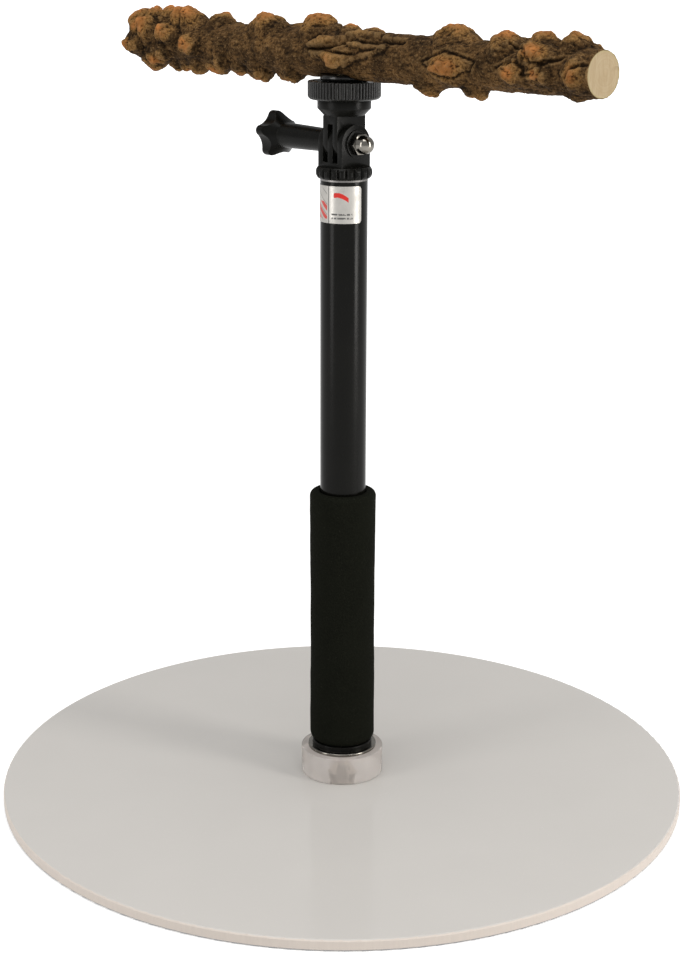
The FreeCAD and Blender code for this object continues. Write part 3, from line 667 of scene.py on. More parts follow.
def branch_finish():
    """Speckled bark, orange-brown thorn faces and pale sawn ends."""
    values = setting("branch")
    material, tree, shader = new_finish("branch_wood", ior=1.45, Specular_IOR_Level=0.06)
    place = stretched(tree, object_place(tree), (1.0, 1.0, 1.0), (0.0, 0.0, BRANCH_AXIS * MM))
    x, y, z = split(tree, place)
    across = joined(tree, y, z)
    radius = maths(tree, "DIVIDE", length_of(tree, across), MM)
    marks = add(tree, "ShaderNodeVertexColor", layer_name="relief")
    parted = add(tree, "ShaderNodeSeparateColor", {0: marks.outputs["Color"]})
    hollow, crest, thorn = parted.outputs[0], parted.outputs[1], parted.outputs[2]

    # the bark: broad blotches, streaks along the branch, dark specks and light flecks
    blotch = noise_value(tree, place, 9.0, 5.0, 0.62)
    speck = noise_value(tree, place, 0.80, 5.0, 0.78)
    streak = noise_value(tree, stretched(tree, place, (0.22, 1.0, 1.0)), 1.1, 4.0, 0.65)
    bark = mix_colour(tree, ramp_value(tree, blotch, 0.34, 0.66), values.bark_dark,
                      values.bark_light)
    bark = mix_colour(tree, ramp_value(tree, streak, 0.42, 0.62, 0.0, 0.45), bark,
                      dim(values.bark_dark, 0.45))
    bark = mix_colour(tree, ramp_value(tree, speck, 0.49, 0.38, 0.0, 0.85), bark,
                      dim(values.bark_dark, 0.25))
    bark = laid_on(tree, ramp_value(tree, speck, 0.56, 0.66), 0.60, bark, (0.36, 0.22, 0.10))

    # the thorns: how far out on one a place is, wandering a little, gives its face and its tip
    wander = times(tree, maths(tree, "SUBTRACT", blotch, 0.5), 1.1)
    wander = maths(tree, "MULTIPLY_ADD", maths(tree, "SUBTRACT", streak, 0.5), 0.5, wander)
    out = maths(tree, "ADD", thorn, wander)
    face = mix_colour(tree, ramp_value(tree, speck, 0.38, 0.58), dim(values.thorn_base, 0.28),
                      values.thorn_base)
    patch = noise_value(tree, place, 3.2, 3.0, 0.6)
    worn = mix_colour(tree, ramp_value(tree, patch, 0.38, 0.60), values.thorn_tip,
                      dim(values.thorn_tip, 0.62))
    worn = mix_colour(tree, ramp_value(tree, speck, 0.46, 0.36, 0.0, 0.6), worn,
                      dim(values.thorn_tip, 0.30))
    tone = laid_on(tree, ramp_value(tree, out, 0.10, 0.38), 0.80, bark, face)
    tone = laid_on(tree, ramp_value(tree, out, 0.40, 1.00), 0.90, tone, worn)
    tone = laid_on(tree, crest, 0.30, tone, (0.40, 0.25, 0.11))
    # painted shade: the hollows and the creases round the lumps are darkened nearly to black
    tone = laid_on(tree, hollow, 0.90, tone, dim(values.bark_dark, 0.18))

    # the sawn ends: rings about the pith, saw marks and a rim under the bark
    off_pith = add(tree, "ShaderNodeVectorMath", {0: across, 1: (1.1 * MM, 0.6 * MM, 0.0)},
                   operation="SUBTRACT").outputs[0]
    from_pith = length_of(tree, off_pith)
    rings = noise_value(tree, joined(tree, from_pith), 0.8, 2.0)
    saw = noise_value(tree, stretched(tree, place, (1.0, 1.0, 0.16)), 0.7, 3.0)
    grain = maths(tree, "MULTIPLY_ADD", saw, 0.6, times(tree, rings, 0.4))
    wood = mix_colour(tree, ramp_value(tree, grain, 0.36, 0.64), values.wood_colour,
                      [part * shade for part, shade in zip(values.wood_colour,
                                                           (0.88, 0.84, 0.78))])
    pith = ramp_value(tree, from_pith, 0.9 * MM, 0.4 * MM)
    wood = laid_on(tree, pith, 0.18, wood, (0.36, 0.24, 0.12))
    right_end = ramp_value(tree, x, (BRANCH_HIGH.x - 0.20) * MM, (BRANCH_HIGH.x - 0.10) * MM)
    left_end = ramp_value(tree, x, (BRANCH_LOW.x + 0.20) * MM, (BRANCH_LOW.x + 0.10) * MM)
    sawn = maths(tree, "MAXIMUM", right_end, left_end)
    rough_edge = maths(tree, "MULTIPLY_ADD", speck, 0.5, radius)
    skin = ramp_value(tree, rough_edge, 8.60, 8.30)
    rim = ramp_value(tree, rough_edge, 7.7, 8.3)
    wood = laid_on(tree, rim, 0.35, wood, (0.36, 0.33, 0.15))
    tone = laid_on(tree, sawn, skin, tone, wood)

    fine = maths(tree, "MULTIPLY_ADD", speck, 0.7, times(tree, streak, 0.7))
    calm = maths(tree, "MULTIPLY_ADD", sawn, -0.95, 1.0)
    fine = times(tree, fine, calm)
    gloss = ramp_value(tree, speck, 0.3, 0.7, 0.82, 0.60)
    wire(tree, shader, Base_Color=tone, Roughness=gloss, Normal=bump(tree, fine, 0.90))
    return material


def seen_share(tree):
    """One for rays from the camera or through clear pieces, less for reflected ones."""
    ray = add(tree, "ShaderNodeLightPath")
    glossy = times(tree, ray.outputs["Is Glossy Ray"], setting("stage").reflected)
    seen = maths(tree, "MAXIMUM", ray.outputs["Is Camera Ray"], glossy)
    return maths(tree, "MAXIMUM", seen, ray.outputs["Is Transmission Ray"])


def floor_finish():
    values = setting("stage")
    material, tree, shader = new_finish("floor", Roughness=0.85, Specular_IOR_Level=0.1)
    shader.inputs["Base Color"].default_value = (*values.floor_colour, 1.0)
    seen = seen_share(tree)
    shader.inputs["Emission Color"].default_value = (1.0, 1.0, 1.0, 1.0)
    # the floor's own light rises with the distance, so that the shadow stays and the rest is white
    lift = ramp_value(tree, length_of(tree, object_place(tree)), 0.25, 1.3, 0.32, 1.0)
    wire(tree, shader, Emission_Strength=times(tree, seen, lift))
    return material


def finish(name, maker, *values):
    """A finish by name, made the first time that it is asked for."""
    found = bpy.data.materials.get(name + "_finish")
    if found:
        return found
    made = maker(*values)
    made.name = name + "_finish"
    return made


def black_plastic():
    return finish("black_plastic", plastic_finish)


# colour, roughness, width of the turning marks in mm, share of the colour left in smudges
METALS = {
    "zinc_steel": ((0.50, 0.48, 0.43), 0.26, 0.3, 0.8),
    # zinc painted far lighter than its own tone: painted light for the base screw, which is seen
    # dimmed through the clear boss
    "bright_zinc": ((0.96, 0.93, 0.86), 0.20, 0.3, 0.9),
    "polished_steel": ((0.25, 0.236, 0.21), 0.08, 0.35, 0.75),
    "brass_insert": ((0.62, 0.44, 0.18), 0.26, 0.3, 0.75),
    "bare_aluminium": ((0.60, 0.60, 0.61), 0.30, 0.4, 0.9),
    "dull_ring": ((0.24, 0.232, 0.225), 0.35, 0.4, 0.8),
}


def metal(name):
    return finish(name, metal_finish, name, *METALS[name])


# ---------------------------------------------------------------- pieces


SCREW_RADIUS = 3.175    # a quarter inch shank, in mm
THREAD_DEPTH = 0.62
GROOVE_HALF = 0.36      # half the groove's width, as a share of the pitch
RUNOUT = 0.6            # length over which the groove fades at each end, in mm
ON_SHANK = 0.02         # points within this distance of the shank's radius are on it, in mm
THREAD_ROW = 0.16       # height of a row of faces on the shank, in mm


def cut_thread(piece, radius, depth, pitch, start, end):
    """Cuts a helical groove into the side of a finely divided shank about Z."""
    def move(point):
        if abs(math.hypot(point.x, point.y) - radius * MM) > ON_SHANK * MM:
            return point
        height = point.z / MM
        if not start < height < end:
            return point
        phase = (height / pitch - math.atan2(point.y, point.x) / (2 * math.pi)) % 1.0
        groove = 1.0 - min(1.0, abs(phase - 0.5) / GROOVE_HALF)
        runout = min(1.0, (height - start) / RUNOUT, (end - height) / RUNOUT)
        shrink = (radius - depth * groove * max(runout, 0.0)) / radius
        return Vector((point.x * shrink, point.y * shrink, point.z))
    move_points(piece, move)


class PLAYSTAND_OT_prepare(bpy.types.Operator):
    """Builds the shared surface effects"""
    bl_idname = "play_stand.prepare"
    bl_label = "Prepare Effects"
    bl_options = {"REGISTER", "UNDO"}

    def execute(self, context):
        build_edge_wear_and_highlight()
        build_handling()
        build_moulded_grain()
        build_turning_marks()
        deselect_all()
        return {"FINISHED"}


class PLAYSTAND_OT_base(bpy.types.Operator):
    """Dresses the plate and washer and makes the clear boss and its countersunk screw"""
    bl_idname = "play_stand.base"
    bl_label = "Base"
    bl_options = {"REGISTER", "UNDO"}

    def execute(self, context):
        paint_node("base_plate", finish("white_acrylic", plate_finish))
        paint_node("steel_washer", metal("polished_steel"))
        low, high = low_high("clear_boss")
        screw_low, screw_high = low_high("base_screw")
        edge, foot = 0.45, low.z + 0.04
        wide, narrow = 6.42, 3.25
        sunk_to = low.z + 0.9 + (wide - narrow) * 1.15
        profile = [(narrow, sunk_to), (narrow, high.z),
                   (high.x - edge, high.z), (high.x - edge * 0.3, high.z - edge * 0.3),
                   (high.x, high.z - edge), (high.x, low.z + edge),
                   (high.x - edge * 0.3, low.z + edge * 0.3), (high.x - edge, foot),
                   (wide, foot), (narrow, sunk_to)]
        boss = smooth(turned("clear_boss_turned", profile, 128))
        hand_in(boss, "stand", "clear_acrylic", finish("clear_acrylic", clear_finish),
                "clear_boss")
        shank_low, shank_high = screw_low.z + 3.65, screw_high.z - 0.5
        rows = int((shank_high - shank_low) / THREAD_ROW)
        profile = [(0.0, screw_low.z + 2.4), (2.2, screw_low.z + 2.4), (2.35, screw_low.z + 0.05),
                   (6.2, screw_low.z + 0.05), (6.35, screw_low.z + 0.2), (3.2, shank_low)]
        profile += [(SCREW_RADIUS, shank_low + (shank_high - shank_low) * row / rows)
                    for row in range(1, rows + 1)]
        profile += [(2.7, screw_high.z), (0.0, screw_high.z)]
        screw = turned("base_screw_threaded", profile, 48)
        cut_thread(screw, SCREW_RADIUS, THREAD_DEPTH, setting("base").thread_pitch / MM,
                   shank_low, shank_high)
        # the base screw is zinc steel; its finish is a lighter copy, painted light to make up for
        # the dimming by the clear boss
        hand_in(smooth(screw), "stand", "zinc_steel", metal("bright_zinc"), "base_screw")
        deselect_all()
        return {"FINISHED"}


class PLAYSTAND_OT_pole(bpy.types.Operator):
    """Dresses the pole's tubes, end plug, trim ring, bushes and twist locks"""
    bl_idname = "play_stand.pole"
    bl_label = "Pole"
    bl_options = {"REGISTER", "UNDO"}

    def execute(self, context):
        paint_node("outer_tube", finish("black_tube", tube_finish))
        paint_node("tube_end_ring", metal("dull_ring"))
        for node in ("mid_tube", "inner_tube"):
            paint_node(node, metal("bare_aluminium"))
        for node in ("plug_insert", "wheel_insert", "perch_insert"):
            paint_node(node, metal("brass_insert"))
        for node in ("pole_end_plug", "outer_guide_bush", "mid_guide_bush", "mid_lock_sleeve",
                     "mid_lock_core", "top_lock_sleeve", "top_lock_core"):
            paint_node(node, black_plastic())
        deselect_all()
        return {"FINISHED"}


class PLAYSTAND_OT_grip(bpy.types.Operator):
    """Makes the foam grip, with soft ends and a slightly uneven skin"""
    bl_idname = "play_stand.grip"
    bl_label = "Foam Grip"
    bl_options = {"REGISTER", "UNDO"}

    def execute(self, context):
        low, high = low_high("foam_grip")
        outside, inside = (high.x - low.x) / 2, 9.82
        foot_round, top_round, rows = 3.2, 2.3, 88
        profile = [(inside, low.z + 0.1)]
        profile += arc(outside - foot_round, low.z + 0.05 + foot_round, foot_round, foot_round,
                       -90, 0, 8)
        profile += [(outside, low.z + 3.3 + (high.z - low.z - 6.0) * step / rows)
                    for step in range(1, rows)]
        profile += arc(outside - top_round, high.z - 0.05 - top_round, top_round, top_round,
                       0, 90, 8)
        profile += [(inside + 1.2, high.z - 0.05), (inside + 0.35, high.z - 0.2),
                    (inside, high.z - 0.9), (inside, low.z + 0.1)]
        grip = turned("foam_grip_skin", profile, 120)
        wave = setting("pole").foam_wave
        bore_edge, waist = 10.4, 0.22

        def breathe(point):
            """Broad and fine unevenness, and a slight waist, on all but the bore."""
            radius = math.hypot(point.x, point.y)
            if radius < bore_edge * MM:
                return point
            push = noise.noise(point / (13 * MM)) * wave
            push += noise.noise(point / (3.5 * MM)) * wave * 0.35 - wave
            middle = (point.z / MM - low.z) / (high.z - low.z)
            push -= waist * MM * math.sin(math.pi * middle) ** 2
            scale = (radius + push) / radius
            return Vector((point.x * scale, point.y * scale, point.z))
        move_points(grip, breathe)
        hand_in(smooth(grip, SOFT_DEGREES), "stand", "foam", finish("foam", foam_finish),
                "foam_grip")
        deselect_all()
        return {"FINISHED"}


class PLAYSTAND_OT_label(bpy.types.Operator):
    """Prints a plain pattern on the foil label"""
    bl_idname = "play_stand.label"
    bl_label = "Label"
    bl_options = {"REGISTER", "UNDO"}

    def execute(self, context):
        paint_node("info_sticker", finish("foil", label_finish))
        deselect_all()
        return {"FINISHED"}


class PLAYSTAND_OT_head(bpy.types.Operator):
    """Dresses the collar, the thumb screw and the studs, and makes the two knuckles of the tilt
    joint and the cap nut
    """
    bl_idname = "play_stand.head"
    bl_label = "Head"
    bl_options = {"REGISTER", "UNDO"}

    def execute(self, context):
        for node in ("twist_collar", "star_knob"):
            paint_node(node, black_plastic())
        for node in ("clamp_screw", "mount_stud"):
            paint_node(node, metal("zinc_steel"))
        steel = metal("polished_steel")
        for node, body, slot, surface in (
                ("lower_knuckle", "top_stage", "black_plastic", black_plastic()),
                ("upper_knuckle", "head", "black_plastic", black_plastic()),
                ("acorn_nut", "top_stage", "polished_steel", steel)):
            piece = cad_copy(node, node + "_dressed", MOULDED_EDGE)
            hand_in(piece, body, slot, surface, node)
        deselect_all()
        return {"FINISHED"}


class PLAYSTAND_OT_wheel(bpy.types.Operator):
    """Dresses the lock wheel and makes the soft pad on it"""
    bl_idname = "play_stand.wheel"
    bl_label = "Lock Wheel"
    bl_options = {"REGISTER", "UNDO"}

    def execute(self, context):
        paint_node("lock_wheel", finish("glossy_plastic", plastic_finish, "glossy_plastic",
                                        0.18, 0.34))
        low, high = low_high("rubber_pad")
        outside, inside = high.x, 3.5
        middle = (low.z + high.z) / 2
        half = (high.z - low.z) / 2 - 0.02
        rim = 1.1
        profile = [(inside, middle - half)]
        profile += arc(outside - rim, middle, rim, half, -90, 90, 12)
        profile += [(inside, middle + half), (inside, middle - half)]
        pad = turned("rubber_pad_pressed", profile, 96)

        def press(point):
            """An uneven rim, as where the pad is squeezed out."""
            radius = math.hypot(point.x, point.y)
            if radius < 8.0 * MM:
                return point
            push = noise.noise(point / (5 * MM)) * 0.25 * MM - 0.2 * MM
            scale = (radius + push) / radius
            return Vector((point.x * scale, point.y * scale, point.z))
        move_points(pad, press)
        hand_in(smooth(pad, SOFT_DEGREES), "wheel", "black_rubber",
                finish("black_rubber", rubber_finish), "rubber_pad")
        deselect_all()
        return {"FINISHED"}


# carved lines on the bark: rise in mm (cut where negative), half width in mm, then points as
# (place along the branch in mm, angle about it in degrees)
CARVED = (
    (1.5, 1.7, ((-10.6, 159), (-3.5, 151), (4.1, 141), (9.6, 129), (15.6, 121), (28, 121))),
    (0.8, 1.1, ((9.6, 129), (20, 128), (34, 127), (42, 124))),
    (0.7, 1.0, ((12, 148), (21, 153), (33, 150))),
    (0.8, 1.2, ((15.9, 181), (20.5, 175), (27, 166), (33, 154))),
    (1.2, 2.4, ((-6, 180), (2, 186), (11, 188))),
    (0.7, 1.3, ((-9.4, 173), (-6, 186), (3, 196), (12, 192), (16, 182))),
    (-1.9, 0.75, ((-11.5, 166), (-2.5, 165), (4.7, 158), (9.7, 145), (13, 139))),
    (-1.2, 0.7, ((-10, 167), (0, 168), (10, 171), (15, 173))),
    (-0.8, 0.8, ((14, 143), (22, 143), (34, 140), (42, 134))),
    (-0.7, 0.7, ((55, 176), (60, 163), (68, 154), (76, 158), (82, 168), (80, 190), (72, 206),
                 (62, 200), (55, 182))),
    (-0.9, 0.8, ((97, 120), (104, 128), (109, 150), (112, 168), (118, 160), (124, 140))),
    (-0.8, 0.8, ((93, 180), (97, 168), (104, 163), (108, 176), (108, 190), (114, 180))),
    (-0.9, 0.8, ((128, 186), (131, 168), (136, 156))),
    (0.9, 2.2, ((102, 110), (107, 128), (110, 145))),
    (0.8, 1.4, ((110, 186), (114, 184), (115, 176))),
)
# worn lumps on the thorns: place along the branch, angle about it, how far they reach out of
# the bark, half length along and round the branch, all in mm, and the slope of the top in degrees
LUMPS = (
    (-136.0, 108, 6.6, 5.6, 7.2, 0), (-130.5, 84, 6.4, 4.6, 5.2, 0),
    (-119.0, 86, 6.8, 6.4, 6.6, 0), (-106.0, 93, 7.4, 7.4, 8.0, 12),
    (-97.0, 112, 2.8, 7.0, 5.0, 14), (-110.5, 151, 5.6, 6.8, 5.8, 0),
    (-136.0, 188, 5.6, 4.8, 5.6, 0), (-92.0, 178, 4.9, 5.4, 6.0, 0),
    (-119.0, 222, 4.2, 8.0, 6.0, 0), (-126.0, 250, 5.0, 8.0, 6.2, 0),
    (-133.0, 145, 3.4, 5.0, 5.0, 0), (-101.0, 262, 3.6, 9.5, 6.0, 0),
    (-77.0, 236, 4.6, 8.0, 6.6, 0), (-64.0, 256, 2.8, 8.5, 6.0, 0),
    (-52.0, 262, 4.0, 9.5, 5.4, 16), (-32.0, 262, 3.6, 9.5, 5.4, 14),
    (-81.0, 84, 5.0, 8.0, 7.0, 0), (-47.0, 96, 5.6, 10.5, 8.0, 0),
    (-15.0, 93, 6.6, 10.0, 8.0, 14), (3.0, 80, 3.4, 6.0, 6.0, 0),
    (16.0, 80, 2.3, 7.0, 6.0, 0), (64.0, 92, 5.4, 10.5, 8.6, 8),
    (68.0, 182, 2.6, 12.0, 8.4, 0), (63.0, 188, 3.4, 5.0, 4.0, 0),
    (92.0, 104, 4.6, 8.6, 8.0, 0), (111.0, 143, 4.6, 9.5, 6.6, -6),
    (109.0, 86, 5.2, 8.4, 6.4, 0), (123.0, 84, 6.0, 6.2, 6.4, 0),
    (101.5, 184, 3.8, 7.4, 6.4, 0), (114.0, 184, 3.0, 4.8, 4.4, 0),
    (131.0, 178, 3.2, 6.4, 7.6, 0), (3.0, 185, 1.7, 8.5, 4.2, 0),
    (50.0, 262, 4.0, 8.0, 5.0, 18), (75.0, 262, 3.8, 7.0, 4.6, 18),
    (-126.0, 20, 5.2, 6.6, 6.6, 0), (-106.0, 44, 5.4, 7.4, 7.0, 10),
    (-98.0, -12, 4.6, 7.0, 6.4, 0), (-76.0, 28, 4.6, 8.6, 6.6, 0),
    (-57.0, -22, 4.2, 8.0, 6.4, -8), (-35.0, 32, 5.0, 9.4, 7.4, 12),
    (15.0, 22, 4.2, 9.4, 7.0, 8), (38.0, -30, 4.2, 8.0, 6.2, 0),
    (50.0, 34, 4.6, 8.6, 7.0, -8), (75.0, 0, 4.4, 9.0, 6.8, 0),
    (94.0, 40, 4.4, 7.0, 6.0, 0), (112.0, 8, 4.6, 8.4, 6.8, 0),
    (126.0, 42, 4.6, 6.4, 6.0, 0), (125.0, -42, 3.8, 6.2, 5.8, 0),
)
SEED = 5                # of the noise vectors that skew the thorns
UNROLL_RADIUS = 9.6     # mean radius of the bark, in mm
ROOT = 3.6              # how deep a lump reaches into the bark, in mm
SEAT_CLEAR = (11.3, 15.0)   # the relief fades out between these distances from the seat, in mm
SKIN = 0.05             # how far inside the CAD's ends the branch is sawn off, in mm
TOP_ROOM = 0.2          # how far the bark may rise over the CAD's top, in mm
CARVED_SIDE = (90, 230)     # the carved lines lie between these angles
# distance along the branch, its bark's radius there
BARK = ((-138, 8.6), (-75, 9.3), (0, 9.4), (36, 9.4), (85, 8.8), (107, 8.6), (137, 8.6))


def between_rows(rows, place):
    """The value at a place between rows of (place, value)."""
    for (low, first), (high, last) in zip(rows, rows[1:]):
        if place <= high:
            return first + (last - first) * max(0.0, (place - low) / (high - low))
    return rows[-1][1]


def soft_step(value, low, high):
    share = min(1.0, max(0.0, (value - low) / (high - low)))
    return share * share * (3.0 - 2.0 * share)


def far_from_line(point, line):
    """Distance on the unrolled bark from a line of points."""
    best = 1e9
    for first, last in zip(line, line[1:]):
        run = last - first
        share = min(1.0, max(0.0, (point - first).dot(run) / run.length_squared))
        best = min(best, (first + run * share - point).length)
    return best


def unrolled(station, angle):
    return Vector((station, math.radians(angle) * UNROLL_RADIUS))


def over_bark(point):
    """Height of a point over the bark in mm, and its angle about the branch in degrees."""
    across = Vector((point.y, point.z - BRANCH_AXIS * MM))
    height = across.length / MM - between_rows(BARK, point.x / MM)
    return height, math.degrees(math.atan2(across.y, across.x))


class PLAYSTAND_OT_branch(bpy.types.Operator):
    """Makes the thorny branch, with rough bark, worn thorns and sawn ends"""
    bl_idname = "play_stand.branch"
    bl_label = "Branch"
    bl_options = {"REGISTER", "UNDO"}

    def skew(self, point):
        """Pulls a thorn out of its regular shape."""
        height, _ = over_bark(point)
        amount = soft_step(height, 0.3, 4.5)
        if amount == 0.0:
            return point
        pull = noise.noise_vector(point / (9.5 * MM)) * 1.3
        pull += noise.noise_vector(point / (4.6 * MM) + Vector((7, 3, 1))) * 1.0
        pull.z -= 0.35 * math.copysign(1.0, point.z - BRANCH_AXIS * MM)
        return point + pull * amount * MM

    def add_lumps(self, wood):
        """Sets a worn lump on each thorn, and joins them to the branch."""
        lumps = []
        for station, angle, reach, along, round_half, slope in LUMPS:
            deselect_all()
            bpy.ops.mesh.primitive_uv_sphere_add(segments=24, ring_count=12, radius=1 * MM)
            lump = name_new("lump")
            turn = Matrix.Rotation(math.radians(angle - 90.0), 4, "X")
            lift = Matrix.Translation(mm(0, 0, between_rows(BARK, station) - ROOT))
            lean = Matrix.Rotation(math.radians(slope), 4, "Y")
            size = Matrix.Diagonal((along, round_half, reach + ROOT, 1.0))
            place = Matrix.Translation(mm(station, 0, BRANCH_AXIS))
            lump.matrix_world = place @ turn @ lift @ lean @ size
            settle(lump)
            lumps.append(lump)
        take(wood)
        for lump in lumps:
            lump.select_set(True)
        bpy.ops.object.join()

    def relief(self, point, lines):
        """How far the bark stands out or in at a point, in mm."""
        station = point.x / MM
        height, angle = over_bark(point)
        thorn = soft_step(height, 0.4, 3.0)
        along = Vector((point.x * 0.45, point.y, point.z))
        push = noise.noise(point / (6.5 * MM)) * (0.7 + 1.5 * thorn)
        push += noise.fractal(along / (1.5 * MM), 0.75, 2.1, 4) * 0.80
        near, second = noise.voronoi(point / (4.4 * MM))[0][:2]
        push -= (1.0 - soft_step(second - near, 0.0, 0.16)) * (0.20 + 0.30 * thorn)
        push += noise.noise(point / (2.4 * MM)) * 0.8 * thorn
        push *= setting("branch").relief / MM
        flat = unrolled(station, angle % 360.0)
        for rise, half, line in lines:
            last = max(spot.x for spot in line)
            if (line[0].x - 4 < station < last + 4
                    and CARVED_SIDE[0] < angle % 360.0 < CARVED_SIDE[1]):
                off = far_from_line(flat, line) + noise.noise(point / (2.0 * MM)) * 0.5
                push += rise * (1.0 - soft_step(off, half * 0.35, half * 1.25))
        return push

    def roughen(self, wood):
        """Moves each point along its normal by the relief, less near the seat and the ends."""
        lines = [(rise, half, [unrolled(*spot) for spot in line]) for rise, half, line in CARVED]
        seat = mm(0, 0, SEAT_LOW.z)
        wood.data.update()
        normals = [vert.normal.copy() for vert in wood.data.vertices]
        for vert, normal in zip(wood.data.vertices, normals):
            point = vert.co.copy()
            away = (BRANCH_HIGH.x * MM - abs(point.x)) / MM
            if away < 1.0 and abs(normal.x) > 0.8:
                # an end's own points go out a little, to be sawn off flat
                vert.co.x += math.copysign(0.7 * MM, point.x)
                continue
            push = self.relief(point, lines)
            push *= soft_step((point - seat).length / MM, *SEAT_CLEAR)
            push *= 0.4 + 0.6 * soft_step(away, 0.0, 2.5)
            vert.co = point + normal * push * MM
            vert.co.z = min(vert.co.z, (BRANCH_HIGH.z + TOP_ROOM) * MM)
        wood.data.update()

    def saw_ends(self, wood):
        for plane, direction in ((BRANCH_HIGH.x - SKIN, 1), (BRANCH_LOW.x + SKIN, -1)):
            edit_all(wood, "FACE")
            bpy.ops.mesh.bisect(plane_co=mm(plane, 0, 0), plane_no=(direction, 0, 0),
                                use_fill=True, clear_outer=True)
            leave_edit()

    def execute(self, context):
        noise.seed_set(SEED)
        wood = cad_copy("perch_branch", "perch_branch_bark")
        self.add_lumps(wood)
        apply_modifier(wood, "REMESH", mode="VOXEL", voxel_size=setting("branch").voxel,
                       adaptivity=0.0)
        move_points(wood, self.skew)
        apply_modifier(wood, "SMOOTH", factor=0.5, iterations=4)
        self.roughen(wood)
        self.saw_ends(wood)
        merge_and_turn_out(wood)
        self.mark(wood)
        hand_in(smooth(wood, BARK_DEGREES), "perch", "branch_wood",
                finish("branch_wood", branch_finish), "perch_branch")
        deselect_all()
        return {"FINISHED"}

    def mark(self, wood):
        """Notes on each point how hollow, how sharp and how far out on a thorn it is."""
        take(wood)
        bpy.ops.object.duplicate()
        worn = bpy.context.active_object
        apply_modifier(worn, "SMOOTH", factor=0.5, iterations=14)
        marks = wood.data.color_attributes.new("relief", "FLOAT_COLOR", "POINT")
        for index, (vert, soft) in enumerate(zip(wood.data.vertices, worn.data.vertices)):
            turn = (soft.co - vert.co).dot(vert.normal) / MM
            station = vert.co.x / MM
            height, angle = over_bark(vert.co)
            worn_top = 0.0
            for place, turned_by, reach, along, round_half, _ in LUMPS:
                if abs(station - place) < along:
                    off = (angle - turned_by + 180.0) % 360.0 - 180.0
                    off = math.radians(off) * (9.4 + reach * 0.6) / round_half
                    worn_top = max(worn_top, 1.0 - math.hypot(off, (station - place) / along))
            out = max(soft_step(height, 0.6, 7.5), 0.95 * soft_step(worn_top, 0.0, 0.95))
            marks.data[index].color = (soft_step(turn, 0.01, 0.13), soft_step(-turn, 0.03, 0.30),
                                       out, 1.0)
        bpy.data.objects.remove(worn, do_unlink=True)


# soft lamps: angle about the pole from +X in degrees, distance and height, size, share of the
# key lamp's power, height aimed at, colour
LAMPS = (
    ("key_right", 22.0, 0.95, 0.42, (0.22, 0.85), 1.0, 0.20, (1.0, 0.97, 0.93)),
    ("fill_left", -100.0, 1.00, 0.42, (0.30, 0.85), 0.55, 0.20, (1.0, 0.98, 0.96)),
    ("top_soft", -41.0, 0.20, 1.30, (0.9, 0.9), 1.6, 0.10, (1.0, 0.99, 0.97)),
)
# the camera that was fitted to the photo, in mm, degrees and photo pixels
CAMERA_PLACE = (577.1, -501.7, 364.8)
CAMERA_DOWN, CAMERA_TURN = 17.38, 49.09
CAMERA_ROLL = 0.003     # in radians
FOCAL_LENGTH = 1860.8
PHOTO_HEIGHT = 954.0
OPTICAL_CENTRE = 512.05
SENSOR = 36.0


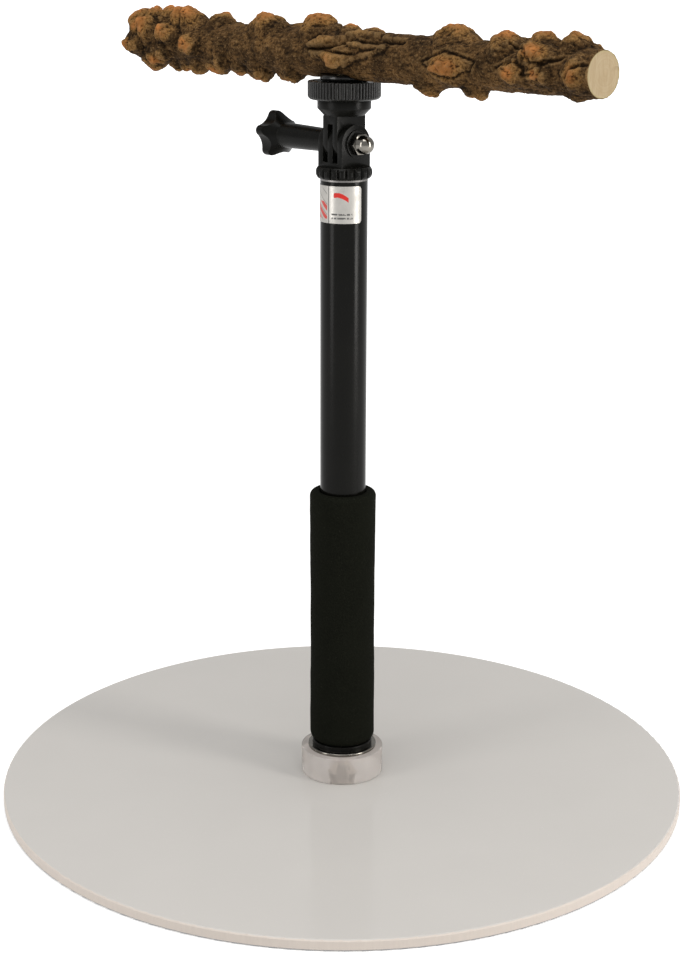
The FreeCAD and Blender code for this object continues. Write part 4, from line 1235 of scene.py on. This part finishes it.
class PLAYSTAND_OT_stage(bpy.types.Operator):
    """Sets out the floor, the lamps and the camera"""
    bl_idname = "play_stand.stage"
    bl_label = "Stage"
    bl_options = {"REGISTER", "UNDO"}

    def lamp(self, name, azimuth, distance, height, size, share, aim, tone):
        """A soft lamp that faces a point on the pole."""
        light = bpy.data.lights.new(name, "AREA")
        light.shape = "RECTANGLE"
        light.size, light.size_y = size
        light.energy = setting("stage").key_power * share
        light.color = tone
        lamp = bpy.data.objects.new(name, light)
        angle = math.radians(azimuth)
        lamp.location = (distance * math.cos(angle), distance * math.sin(angle), height)
        back = lamp.location - Vector((0, 0, aim))
        lamp.rotation_euler = back.to_track_quat("Z", "Y").to_euler()
        bpy.context.scene.collection.objects.link(lamp)

    def world(self):
        """White for the camera and through clear pieces, dimmer as light and in reflections."""
        world = bpy.data.worlds.new("studio")
        world.use_nodes = True
        bpy.context.scene.world = world
        tree = world.node_tree
        tree.nodes.clear()
        strength = maths(tree, "MAXIMUM", seen_share(tree), setting("stage").ambient)
        sky = add(tree, "ShaderNodeBackground", {"Color": (1, 1, 1, 1), "Strength": strength})
        out = add(tree, "ShaderNodeOutputWorld", {"Surface": sky.outputs[0]})
        out.is_active_output = True

    def camera(self):
        data = bpy.data.cameras.new("photo_camera")
        data.sensor_width = SENSOR
        data.lens = FOCAL_LENGTH * SENSOR / PHOTO_HEIGHT
        data.shift_y = (OPTICAL_CENTRE - PHOTO_HEIGHT / 2) / PHOTO_HEIGHT
        data.clip_start, data.clip_end = 0.01, 60.0
        camera = bpy.data.objects.new("photo_camera", data)
        camera.location = mm(*CAMERA_PLACE)
        aim = Euler((math.radians(90.0 - CAMERA_DOWN), 0.0, math.radians(CAMERA_TURN)))
        turn = aim.to_matrix() @ Matrix.Rotation(CAMERA_ROLL, 3, "Z")
        camera.rotation_euler = turn.to_euler()
        bpy.context.scene.collection.objects.link(camera)
        bpy.context.scene.camera = camera

    def execute(self, context):
        deselect_all()
        bpy.ops.mesh.primitive_circle_add(vertices=96, radius=14.0, fill_type="NGON",
                                          location=(0, 0, 0))
        floor = name_new("floor")
        floor.data.materials.append(finish("floor", floor_finish))
        for lamp in LAMPS:
            self.lamp(*lamp)
        self.world()
        self.camera()
        bpy.context.scene.view_settings.view_transform = "Standard"
        deselect_all()
        return {"FINISHED"}


OPERATORS = (PLAYSTAND_OT_prepare, PLAYSTAND_OT_base, PLAYSTAND_OT_pole, PLAYSTAND_OT_grip,
             PLAYSTAND_OT_label, PLAYSTAND_OT_head, PLAYSTAND_OT_wheel, PLAYSTAND_OT_branch,
             PLAYSTAND_OT_stage)


class PLAYSTAND_PT_sidebar(bpy.types.Panel):
    """Lists the stand's settings and steps"""
    bl_idname = "PLAYSTAND_PT_sidebar"
    bl_label = "Play Stand"
    bl_space_type = "VIEW_3D"
    bl_region_type = "UI"
    bl_category = "Play Stand"

    def draw(self, context):
        for group, kind in SETTINGS.items():
            box = self.layout.box()
            box.label(text=group.title())
            for key in kind.__annotations__:
                box.prop(setting(group), key)
        for step in OPERATORS:
            self.layout.operator(step.bl_idname)


def register():
    for group, kind in SETTINGS.items():
        bpy.utils.register_class(kind)
        pointer = bpy.props.PointerProperty(type=kind, name=group.title(),
                                            description="Settings of the stand's " + group)
        setattr(bpy.types.Scene, "play_stand_" + group, pointer)
    for step in OPERATORS:
        bpy.utils.register_class(step)
    bpy.utils.register_class(PLAYSTAND_PT_sidebar)


def unregister():
    bpy.utils.unregister_class(PLAYSTAND_PT_sidebar)
    for step in reversed(OPERATORS):
        bpy.utils.unregister_class(step)
    for group, kind in SETTINGS.items():
        delattr(bpy.types.Scene, "play_stand_" + group)
        bpy.utils.unregister_class(kind)


def main():
    register()
    for step in OPERATORS:
        family, name = step.bl_idname.split(".")
        getattr(getattr(bpy.ops, family), name)()


if __name__ == "__main__":
    main()
